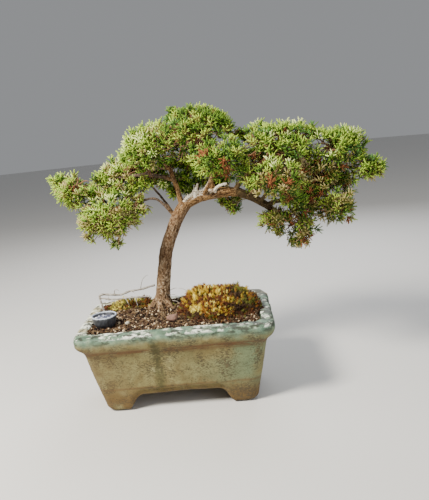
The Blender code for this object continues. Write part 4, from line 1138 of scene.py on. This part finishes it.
def grain_lines(points, lines):
    """For each point, how far it lies across and along the nearest limb, in millimetres."""
    best = np.full(len(points), np.inf)
    found = np.zeros((len(points), 3))
    for path, radii in lines:
        run = 0.0
        side = None
        for a, b, r, s in zip(path, path[1:], radii, radii[1:]):
            step = b - a
            length = step.length
            way = step.normalized()
            side = (side - way * side.dot(way)).normalized() if side else way.orthogonal().normalized()
            front = way.cross(side)
            away = points - np.array(a)
            t = np.clip(away @ np.array(step) / length**2, 0, 1)
            out = away - np.outer(t, np.array(step))
            radius = r + (s - r) * t
            gap = np.abs(np.linalg.norm(out, axis=1) - radius)
            use = gap < best
            best[use] = gap[use]
            found[use, 0] = (out @ np.array(side))[use]
            found[use, 1] = (out @ np.array(front))[use]
            found[use, 2] = (run + t * length)[use]
            run += length
    return found


def smooth_step(value, low, high):
    t = min(1.0, max(0.0, (value - low) / (high - low)))
    return t * t * (3 - 2 * t)


def bark_height(round_x, round_y, along, size):
    """The bark's height, from 0 in a crack to 1 on a plate, for plates of this width."""
    twist = along * 0.025
    x = round_x * math.cos(twist) - round_y * math.sin(twist)
    y = round_x * math.sin(twist) + round_y * math.cos(twist)
    spot = Vector((x, y, along * 0.32)) / size
    wander = noise.noise_vector(spot * 0.6) * 0.5
    crack = abs(noise.noise(spot + wander))
    crossing = abs(noise.noise(spot * 0.7 + Vector((9, 3, spot.z * 1.6))))
    plate = smooth_step(crack, 0.0, 0.13) * (0.5 + 0.5 * smooth_step(crossing, 0.0, 0.07))
    lift = noise.noise(spot * 0.5 + Vector((0, 7, 0)))
    fine = noise.noise(Vector((spot.x * 3, spot.y * 3, spot.z * 1.6)))
    return plate * (0.72 + 0.35 * lift) + 0.16 * fine


def give_bark(mesh, lines, size, depth):
    """Raises the bark's relief on a mesh, and keeps its height as an attribute for the finish."""
    points, normals = coordinates(mesh)
    grain = grain_lines(points, lines)
    height = np.array([bark_height(*g, size) for g in grain])
    move_points(mesh, points + normals * ((height - 0.55) * depth)[:, None])
    relief = mesh.attributes.new("relief", "FLOAT", "POINT")
    relief.data.foreach_set("value", np.clip(height, 0, 1).astype(np.float32))


def root_lines():
    """The roots' lines and radii."""
    foot = Vector(TRUNK_POINTS[1])
    lines = []
    for bearing, reach, thick in ROOTS:
        angle = math.radians(bearing)
        out = Vector((math.cos(angle), math.sin(angle), 0)) * reach
        path = [foot + Vector((0, 0, height)) + out * share for height, share, _ in ROOT_SHAPE]
        lines.append((path, [thick * share for _, _, share in ROOT_SHAPE]))
    return lines


def make_trunk_and_limbs(lines):
    """The trunk, its roots and boughs as one body of bark, the thinner limbs, and the dead wood."""
    thick = [lines[name] for name in BARK_LIMBS] + root_lines()
    longer = []
    for path, radii in thick:
        onward = (path[-1] - path[-2]).normalized()
        longer.append(([*path, path[-1] + onward * 2], [*radii, radii[-1] * 0.96]))
    bark = bark_finish()
    mesh = fused(longer, voxel=0.62, resolution=6)
    give_bark(mesh, thick, size=1.6, depth=1.35)
    sink_flat(mesh)
    piece("bark_trunk", mesh, bark, "bark", *BARK_LIMBS)
    names = [name for name in lines if name not in (*BARK_LIMBS, *DEADWOOD)]
    thin = [lines[name] for name in names]
    mesh = fused(thin, voxel=0.8)
    give_bark(mesh, thin, size=1.3, depth=0.7)
    piece("bark_limbs", mesh, bark, "bark", *names)
    dead = [lines[name] for name in DEADWOOD]
    dead += [([Vector(p) for p in points], radii) for points, radii in SNAGS]
    mesh = fused(dead, voxel=0.4)
    give_bark(mesh, dead, size=1.0, depth=1.1)
    piece("deadwood", mesh, dead_wood_finish(), "dead_wood", *DEADWOOD)


def sink_flat(mesh):
    """Keeps a mesh from reaching deeper than just under the soil's top."""
    points, _ = coordinates(mesh)
    points[:, 2] = np.maximum(points[:, 2], SOIL_TOP / MM - 1)
    move_points(mesh, points)


def make_pot():
    """The pot with softened edges and a worn, uneven surface."""
    bm = bmesh.new()
    bm.from_mesh(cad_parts["pot"].data)
    bmesh.ops.remove_doubles(bm, verts=bm.verts, dist=1e-5)
    mesh = remeshed(bm, 1.75)
    bm = bmesh.new()
    bm.from_mesh(mesh)
    for _ in range(2):
        bmesh.ops.smooth_vert(
            bm, verts=bm.verts, factor=0.5, use_axis_x=True, use_axis_y=True, use_axis_z=True,
        )
    mesh = mesh_of("pot_worn", bm)
    points, normals = coordinates(mesh)
    heights = []
    for p in points:
        spot = Vector(p)
        broad = noise.noise(spot / 34) * 0.7
        pitted = noise.fractal(spot / 6, 1.0, 2.0, 3) * 0.22
        rim = smooth_step(p[2], 88, 98)
        worn = max(0.0, noise.noise(spot / 8 + Vector((5, 0, 0))) - 0.08) * 3.0 * rim
        heights.append(broad + pitted - worn)
    points += normals * np.array(heights)[:, None]
    points[:, 2] = np.maximum(points[:, 2], 0)
    move_points(mesh, points)
    piece("pot_worn", mesh, pot_finish(), "stoneware", "pot")


def pebble_templates(count, seed):
    """Angular grains of unit radius."""
    rng = random.Random(seed)
    found = []
    for _ in range(count):
        bm = bmesh.new()
        bmesh.ops.create_icosphere(bm, subdivisions=1, radius=1)
        for v in bm.verts:
            v.co *= rng.uniform(0.72, 1.15)
        bmesh.ops.scale(bm, vec=(1, rng.uniform(0.65, 0.95), rng.uniform(0.5, 0.8)), verts=bm.verts)
        bm.verts.index_update()
        points = np.array([v.co for v in bm.verts])
        faces = np.array([[v.index for v in f.verts] for f in bm.faces])
        bm.free()
        found.append((points, faces))
    return found


def mound_place(mound, direction):
    """The point of a moss bed's skin in this direction, by the source's rule for its cushion."""
    _, centre, half_length, half_depth, height, seed = mound
    half_length -= BED_INSET
    half_depth -= BED_INSET
    height -= BED_DROP
    rng = random.Random(seed)
    phases = [rng.uniform(0, 2 * math.pi) for _ in range(4)]
    bearing = math.atan2(direction.y, direction.x)
    lump = 0.035 * sum(math.sin((k + 2) * bearing + p) for k, p in enumerate(phases))
    lump += 0.06 * math.sin(5 * direction.x + phases[0]) * math.sin(4 * direction.y + phases[1])
    skin = direction * (1 + lump)
    base = SOIL_TOP / MM - 0.1 * height
    spot = Vector((skin.x * half_length, skin.y * half_depth, skin.z * height))
    spot += Vector((*centre, base))
    top = min(1.0, max(0.0, 3 * direction.z))
    for x, y, radius, rise in MOSS_HUMPS:
        spot.z += rise * top * math.exp(-((spot.x - x) ** 2 + (spot.y - y) ** 2) / radius**2)
    spot.z += 4.2 * top * noise.noise(spot / 8)
    return spot


MOSS_MOUNDS = (
    # name, centre x and y, half length, half depth, height, seed
    ("moss_mound", (54, 2), 46, 48, 24, 3),
    ("moss_patch", (-60, 36), 34, 13, 7, 5),
)
MOSS_TONES = {
    "gold": (0.40, 0.27, 0.022),
    "lemon": (0.68, 0.57, 0.12),
    "amber": (0.20, 0.075, 0.010),
    "rust": (0.085, 0.026, 0.009),
    "green": (0.12, 0.12, 0.02),
    "brown": (0.05, 0.026, 0.012),
}
MOSS_SPACING = 2.3
# How far the bed under the stems lies inside its cushion, at the sides and on top
BED_INSET = 3
BED_DROP = 3.5
# Stems on the soil round a cushion, for each one spread over the cushion
STRAY_STEMS = 0.22
# Humps on the cushions: x, y, radius, rise
MOSS_HUMPS = ((26, 15, 17, 7), (58, 8, 15, 3), (84, -6, 12, 2), (-72, 38, 14, 4), (-48, 38, 14, 5))
WALL_X = 100.5
WALL_Y = 56.5
CUP_PLACE = (-83, -31)
CUP_TALLER = 1.22
CUP_SLIMMER = 0.93
TURNED_STEPS = 64
FILL_RINGS = 12
FILL_DOME = 0.6


def moss_tone(spot, share, name, rng):
    """Lemon and gold on the lit left, amber and rust on top, green to the right, brown low down."""
    draw = 0.15 + 0.7 * rng.random() + 0.9 * noise.noise(spot * 0.08) + 0.4 * noise.noise(spot * 0.25)
    if name == "moss_patch":
        return pick(draw, "lemon", 0.3, "green", 0.62, "amber", 0.85, "rust")
    if share < 0.3 + (0.12 if spot.x < 22 else 0):
        return pick(draw, "brown", 0.45, "rust", 0.75, "amber", 0.9, "green")
    if spot.x < 34:
        return pick(draw, "lemon", 0.3, "gold", 0.66, "amber", 0.88, "rust")
    if spot.x < 66:
        return pick(draw, "gold", 0.3, "amber", 0.58, "lemon", 0.7, "rust")
    return pick(draw, "green", 0.32, "amber", 0.5, "gold", 0.62, "brown")


def moss_template(rng):
    """A moss stem of unit height with pointed leaves all round it, like a small star from above."""
    parts = [tubes([[(0, 0, -0.1), (0, 0, 0.95)]], [[0.05, 0.03]])]
    whorls = 5
    for i in range(whorls):
        share = 0.3 + 0.7 * (i + 0.5) / whorls
        for k in range(3):
            around = (k + 0.5 * (i % 2) + rng.uniform(-0.2, 0.2)) * 2 * math.pi / 3
            lean = math.radians(72 - 44 * share)
            out = Vector((math.cos(around), math.sin(around), 0))
            way = out * math.sin(lean) + Vector((0, 0, math.cos(lean)))
            parts.append(spike(Vector((0, 0, share * 0.9)), way, 0.5, 0.06, 1))
    return joined(parts)


def kept_in_pot(spot):
    """The spot, moved inside the pot's wall where it lies beyond it."""
    spot.x = max(-WALL_X, min(WALL_X, spot.x))
    spot.y = max(-WALL_Y, min(WALL_Y, spot.y))
    return spot


def cushion_stems(mound, rng):
    """The stems on a cushion, and sparser ones on the soil round it: tone, foot, way and height."""
    name, centre, half_length, half_depth, height, _ = mound
    low = 0.75 if name == "moss_patch" else 1.0
    number = round(surface_area((half_length, half_depth, height)) / MOSS_SPACING**2)
    for way in spread_directions(number, rng):
        if way.z < 0.02:
            continue
        way = (way + Vector((rng.gauss(0, 0.04), rng.gauss(0, 0.04), 0))).normalized()
        spot = kept_in_pot(mound_place(mound, way))
        facing = Vector((way.x / half_length, way.y / half_depth, way.z / height)).normalized()
        lean = Vector((rng.gauss(0, 0.5), rng.gauss(0, 0.5), 0.4))
        tall = rng.uniform(3.6, 7.4) * low * (1.35 if rng.random() < 0.07 else 1)
        yield moss_tone(spot, way.z, name, rng), spot, facing + lean, tall
    for _ in range(round(number * STRAY_STEMS)):
        angle, share = rng.uniform(0, 2 * math.pi), 0.9 + abs(rng.gauss(0, 0.17))
        x = centre[0] + math.cos(angle) * half_length * share
        y = centre[1] + math.sin(angle) * half_depth * share
        if abs(x) < WALL_X and abs(y) < WALL_Y:
            spot = Vector((x, y, soil_height(x, y) + 0.4))
            lean = Vector((rng.gauss(0, 0.5), rng.gauss(0, 0.5), 1))
            tone = moss_tone(spot, 0.1 if name == "moss_mound" else 1, name, rng)
            yield tone, spot, lean, rng.uniform(2.4, 4.6)


def make_moss():
    """Cushions of moss: a dark bed with stems standing close over it."""
    rng = random.Random(31)
    templates = [moss_template(rng) for _ in range(3)]
    stems = {tone: [] for tone in MOSS_TONES}
    for mound in MOSS_MOUNDS:
        bm = bmesh.new()
        bmesh.ops.create_uvsphere(bm, u_segments=48, v_segments=24, radius=1)
        for v in bm.verts:
            v.co = here(mound_place(mound, v.co.normalized()))
        bmesh.ops.bisect_plane(
            bm, geom=[*bm.verts, *bm.edges, *bm.faces], plane_co=(0, 0, SOIL_TOP), plane_no=(0, 0, 1),
            clear_inner=True,
        )
        rim = [e for e in bm.edges if e.is_boundary]
        bmesh.ops.contextual_create(bm, geom=rim)
        wall_low, wall_high = here((-WALL_X, -WALL_Y, 0)), here((WALL_X, WALL_Y, 0))
        for v in bm.verts:
            v.co.x = max(wall_low.x, min(wall_high.x, v.co.x))
            v.co.y = max(wall_low.y, min(wall_high.y, v.co.y))
        label = mound[0] + "_bed"
        finish = plain_finish(label, (0.075, 0.04, 0.015), 0.5, 2.5)
        piece(label, mesh_of(label, bm), finish, "moss", mound[0])
    for mound in MOSS_MOUNDS:
        for tone, *stem in cushion_stems(mound, rng):
            stems[tone].append(stem)
    for tone, colour in MOSS_TONES.items():
        parts = [scatter(*pair) for pair in planted(templates, stems[tone], rng)]
        scattered_pieces("moss_" + tone, parts, Paint("moss_" + tone, 0.8, 0.2, colour).coat(), "moss")


GRIT_TONES = {
    # colour, and how many grains of every 25 wear it
    "tan": ((0.10, 0.057, 0.027), 5),
    "cream": ((0.52, 0.40, 0.26), 3),
    "brown": ((0.04, 0.017, 0.008), 8),
    "dark": ((0.011, 0.006, 0.004), 8),
    "mauve": ((0.10, 0.055, 0.042), 1),
}
GRIT_STEP = 2.55
STRAWS = 900


def covered(x, y, margin, reach):
    """Whether a place on the soil lies under a moss cushion, but for a margin, or near the cup."""
    if math.hypot(x - CUP_PLACE[0], y - CUP_PLACE[1]) < reach:
        return True
    for _, centre, half_length, half_depth, _, _ in MOSS_MOUNDS:
        along = (x - centre[0]) / (half_length - margin)
        across = (y - centre[1]) / (half_depth - margin)
        if math.hypot(along, across) < 1:
            return True
    return False


def soil_height(x, y):
    """The heap of the soil: higher round the trunk, and uneven."""
    near = math.exp(-(math.hypot(x - TRUNK_POINTS[0][0], y - TRUNK_POINTS[0][1]) / 34) ** 2)
    return SOIL_TOP / MM + 3.0 * near + 0.9 * noise.noise(Vector((x / 14, y / 14, 0)))


def make_soil():
    """Grit in loose layers over a dark bed, with straw and dead needles on it."""
    finish = soil_finish()
    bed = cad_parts["soil"]
    bed.data.materials.clear()
    bed.data.materials.append(finish)
    rng = random.Random(17)
    templates = pebble_templates(5, 23)
    grains = {tone: [] for tone in GRIT_TONES}
    tones = list(GRIT_TONES)
    shares = [share for _, share in GRIT_TONES.values()]
    for layer, rise in ((0, -0.6), (1, 0.7)):
        for i in range(int(2 * WALL_X / GRIT_STEP)):
            for j in range(int(2 * WALL_Y / GRIT_STEP)):
                x = -WALL_X + (i + rng.random()) * GRIT_STEP
                y = -WALL_Y + (j + rng.random()) * GRIT_STEP
                if covered(x, y, 5, 10.5):
                    continue
                if layer == 1 and rng.random() < 0.35:
                    continue
                tone = rng.choices(tones, shares)[0]
                size = 0.75 + 2.0 * rng.random() ** 2.2
                spot = (x, y, soil_height(x, y) + rise)
                aim = (rng.gauss(0, 1), rng.gauss(0, 1), rng.gauss(0, 1))
                grains[tone].append((spot, aim, size))
    for tone, (colour, _) in GRIT_TONES.items():
        parts = [scatter(*pair) for pair in planted(templates, grains[tone], rng)]
        scattered_pieces("grit_" + tone, parts, plain_finish("grit_" + tone, colour, 0.3, 0.9), "soil")
    straws, radii = [], []
    for _ in range(STRAWS):
        x, y = rng.uniform(-WALL_X, WALL_X), rng.uniform(-WALL_Y, WALL_Y)
        if covered(x, y, 8, 18):
            continue
        angle, length = rng.uniform(0, TURN), rng.uniform(3, 9)
        low = soil_height(x, y) + rng.uniform(0.6, 1.8)
        end = (x + math.cos(angle) * length, y + math.sin(angle) * length, low + rng.uniform(-0.8, 2.2))
        if abs(end[0]) > WALL_X or abs(end[1]) > WALL_Y:
            continue
        middle = [(x + end[0]) / 2, (y + end[1]) / 2, (low + end[2]) / 2 + rng.uniform(0, 0.9)]
        straws.append([(x, y, low), middle, end])
        radii.append([0.3, 0.28, 0.16])
    straw = plain_finish("straw", (0.27, 0.18, 0.095), 0.55, 3)
    scattered_pieces("straw", [tubes(straws, radii)], straw, "soil")


def make_stone():
    """The brown pebble, and a pale chip near the cup."""
    stone_low, stone_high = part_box("stone")
    middle = (stone_low + stone_high) / 2
    bm = bmesh.new()
    bmesh.ops.create_icosphere(bm, subdivisions=4, radius=1)
    size = (stone_high - stone_low) / 2
    for v in bm.verts:
        v.co *= 1 + 0.12 * noise.noise(v.co * 1.7) + 0.04 * noise.noise(v.co * 5)
        v.co = middle + Vector((v.co.x * size.x, v.co.y * size.y, v.co.z * size.z))
    finish = plain_finish("pebble_mauve", (0.20, 0.115, 0.085), 0.35, 3)
    piece("pebble", mesh_of("pebble", bm), finish, "stone", "stone")
    bm = bmesh.new()
    bmesh.ops.create_icosphere(bm, subdivisions=1, radius=3.2 * MM)
    bmesh.ops.scale(bm, vec=(1.0, 0.6, 0.75), verts=bm.verts)
    bmesh.ops.rotate(bm, cent=(0, 0, 0), matrix=Matrix.Rotation(0.6, 3, "Z"), verts=bm.verts)
    bmesh.ops.translate(bm, vec=here((-56, -34, SOIL_TOP / MM + 2.6)), verts=bm.verts)
    finish = plain_finish("pale_chip", (0.62, 0.58, 0.46), 0.15, 2)
    piece("pale_chip", mesh_of("pale_chip", bm, False), finish, "stone")


def turned(outline):
    """A closed shape turned round the upright through its foot from an outline of (radius, height)."""
    bm = bmesh.new()
    corners = [bm.verts.new((x * MM, 0, z * MM)) for x, z in outline]
    edges = [bm.edges.new(pair) for pair in zip(corners, corners[1:])]
    bmesh.ops.spin(
        bm, geom=[*corners, *edges], cent=(0, 0, 0), axis=(0, 0, 1), angle=2 * math.pi,
        steps=TURNED_STEPS, use_merge=True,
    )
    bmesh.ops.remove_doubles(bm, verts=bm.verts, dist=1e-5)
    return bm


def make_cup():
    """The feed cup with its worn rim, and the crusted feed in it."""
    low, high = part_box("feed_cup")
    foot = Vector(((low.x + high.x) / 2, (low.y + high.y) / 2, low.z))
    height = (high.z - low.z) / MM * CUP_TALLER
    rim = (high.x - low.x) / 2 / MM * CUP_SLIMMER
    outline = (
        (0, 0), (rim * 0.66, 0), (rim * 0.74, 0.5), (rim * 0.94, height * 0.5),
        (rim * 0.985, height * 0.84), (rim, height * 0.95), (rim - 0.35, height), (rim - 1.0, height),
        (rim - 1.35, height * 0.95), (rim * 0.84, height * 0.5), (rim * 0.6, 1.4), (0, 1.4),
    )
    bm = turned(outline)
    for v in bm.verts:
        if v.co.z > 0.9 * height * MM:
            v.co.z += 0.25 * MM * noise.noise(v.co * 160)
    bmesh.ops.translate(bm, vec=foot, verts=bm.verts)
    cup = piece("cup", mesh_of("cup", bm), cup_finish(), "cup", "feed_cup")
    cup.data.set_sharp_from_angle(angle=math.radians(50))
    fill_low, fill_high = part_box("cup_fill")
    level = (fill_high.z - foot.z) / MM * CUP_TALLER
    wide = (fill_high.x - fill_low.x) / 2 / MM * CUP_SLIMMER
    shares = [k / FILL_RINGS for k in range(FILL_RINGS)]
    rings = [(wide * share, level + FILL_DOME * (1 - share)) for share in shares]
    bm = turned([*rings, (wide, level - 0.3), (wide - 1.2, level - 3), (0, level - 3)])
    for v in bm.verts:
        if v.co.z > (level - 1) * MM:
            v.co.z += 0.9 * MM * noise.fractal(v.co * 330, 0.8, 2.0, 3)
    bmesh.ops.translate(bm, vec=foot, verts=bm.verts)
    piece("feed", mesh_of("feed", bm), feed_finish(), "cup_fill", "cup_fill")


DEAD_TWIG_RUNS = (
    ((-27, 27, 131), (-46, 27, 127), (-60, 26, 126), (-73, 26, 122.5), (-97, 26, 124.5),
     (-97.5, 24, 115), (-93.5, 20, 101.3)),
    ((-97.4, 25, 120.5), (-82, 21, 118.5), (-66, 20, 119), (-53, 20, 119), (-34, 22, 118)),
)
# Thin side twigs of the dead runs and beside the trunk: start, end, radius
DEAD_TWIGLETS = (
    ((-80, 26, 123), (-78, 24, 130), 0.7), ((-78, 24, 130), (-72, 22, 128.5), 0.5),
    ((-46, 27, 127), (-41, 24, 141), 0.6), ((-41, 24, 141), (-33, 22, 146), 0.45),
    ((-60, 26, 126), (-52, 22, 123), 0.6), ((-66, 20, 119), (-60, 14, 110), 0.6),
    ((-53, 20, 119), (-49, 12, 108), 0.55), ((-88, 25, 124), (-86, 19, 112), 0.5),
    ((-8, 22, 124), (4, 17, 127), 0.5), ((4, 17, 127), (16, 13, 122), 0.45),
    ((-10, 20, 118), (2, 12, 119), 0.5), ((-6, 16, 112), (6, 8, 109), 0.45),
)


def make_dead_twigs():
    """The bare grey twigs that lie over the soil, knotted and uneven."""
    bm = bmesh.new()
    for points, radius in zip(DEAD_TWIG_RUNS, (1.3, 1.1)):
        path = smooth_path(points, 8)
        radii = []
        for i, p in enumerate(path):
            radii.append(radius * (1 + 0.28 * noise.noise(p * 0.35) + (0.3 if i % 13 == 6 else 0)))
        limb_tube(bm, path, radii, 3)
    for start, end, radius in DEAD_TWIGLETS:
        start, end = Vector(start), Vector(end)
        middle = start.lerp(end, 0.5) + Vector((0, 0, 1.2))
        limb_tube(bm, [start, middle, end], [radius, radius * 0.85, radius * 0.5], 2)
    mesh = remeshed(bm, 0.42)
    piece("dead_twigs_grey", mesh, grey_twig_finish(), "dead_wood", "dead_twigs")
    mesh.shade_smooth()


def make_studio():
    """A pale floor, soft light from the upper left, and the camera."""
    bm = bmesh.new()
    bmesh.ops.create_circle(bm, cap_ends=True, segments=96, radius=6)
    bmesh.ops.translate(bm, vec=(0, 0, -0.0004), verts=bm.verts)
    floor = placed("floor", mesh_of("floor", bm, False))
    floor.data.materials.append(Paint("pale_floor", 0.7, 0.2, (0.66, 0.65, 0.63)).coat())
    floor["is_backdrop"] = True
    world = bpy.data.worlds.new("studio")
    world.use_nodes = True
    sky = world.node_tree.nodes["Background"].inputs
    sky["Color"].default_value = (0.80, 0.82, 0.85, 1)
    sky["Strength"].default_value = 0.36
    bpy.context.scene.world = world
    for name, place, size, power, tint in (
        ("key", (-620, -560, 980), 300, 38, (1.0, 0.95, 0.85)),
        ("fill", (900, -800, 500), 900, 6, (0.92, 0.95, 1.0)),
        ("back", (200, 900, 800), 700, 9, (0.95, 0.97, 1.0)),
    ):
        light = bpy.data.lights.new(name, "AREA")
        light.size = size * MM
        light.energy = power
        light.color = tint
        lamp = placed(name, light)
        lamp.location = here(place)
        lamp.rotation_mode = "QUATERNION"
        lamp.rotation_quaternion = (here((30, 0, 190)) - lamp.location).to_track_quat("-Z", "Y")
    camera = placed("camera", bpy.data.cameras.new("camera"))
    camera.data.lens = CAMERA_LENS
    camera.data.sensor_width = 36
    camera.data.clip_start = 0.01
    cos_pitch = math.cos(CAMERA_PITCH)
    ahead = Vector((
        -math.sin(CAMERA_YAW) * cos_pitch, math.cos(CAMERA_YAW) * cos_pitch, -math.sin(CAMERA_PITCH),
    ))
    level = ahead.cross(Vector((0, 0, 1))).normalized()
    upright = level.cross(ahead)
    right = level * math.cos(CAMERA_ROLL) + upright * math.sin(CAMERA_ROLL)
    top = right.cross(ahead)
    stand = Matrix((right, top, -ahead)).transposed().to_4x4()
    stand.translation = here(CAMERA_PLACE)
    camera.matrix_world = stand
    bpy.context.scene.camera = camera


limbs = limb_lines()
make_pot()
make_soil()
make_moss()
make_stone()
make_cup()
make_trunk_and_limbs(limbs)
make_dead_twigs()
make_foliage(limbs)
make_studio()

boxes = {"cad": cad_box, "visual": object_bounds()}
{name: [list(corner) for corner in box] for name, box in boxes.items()}
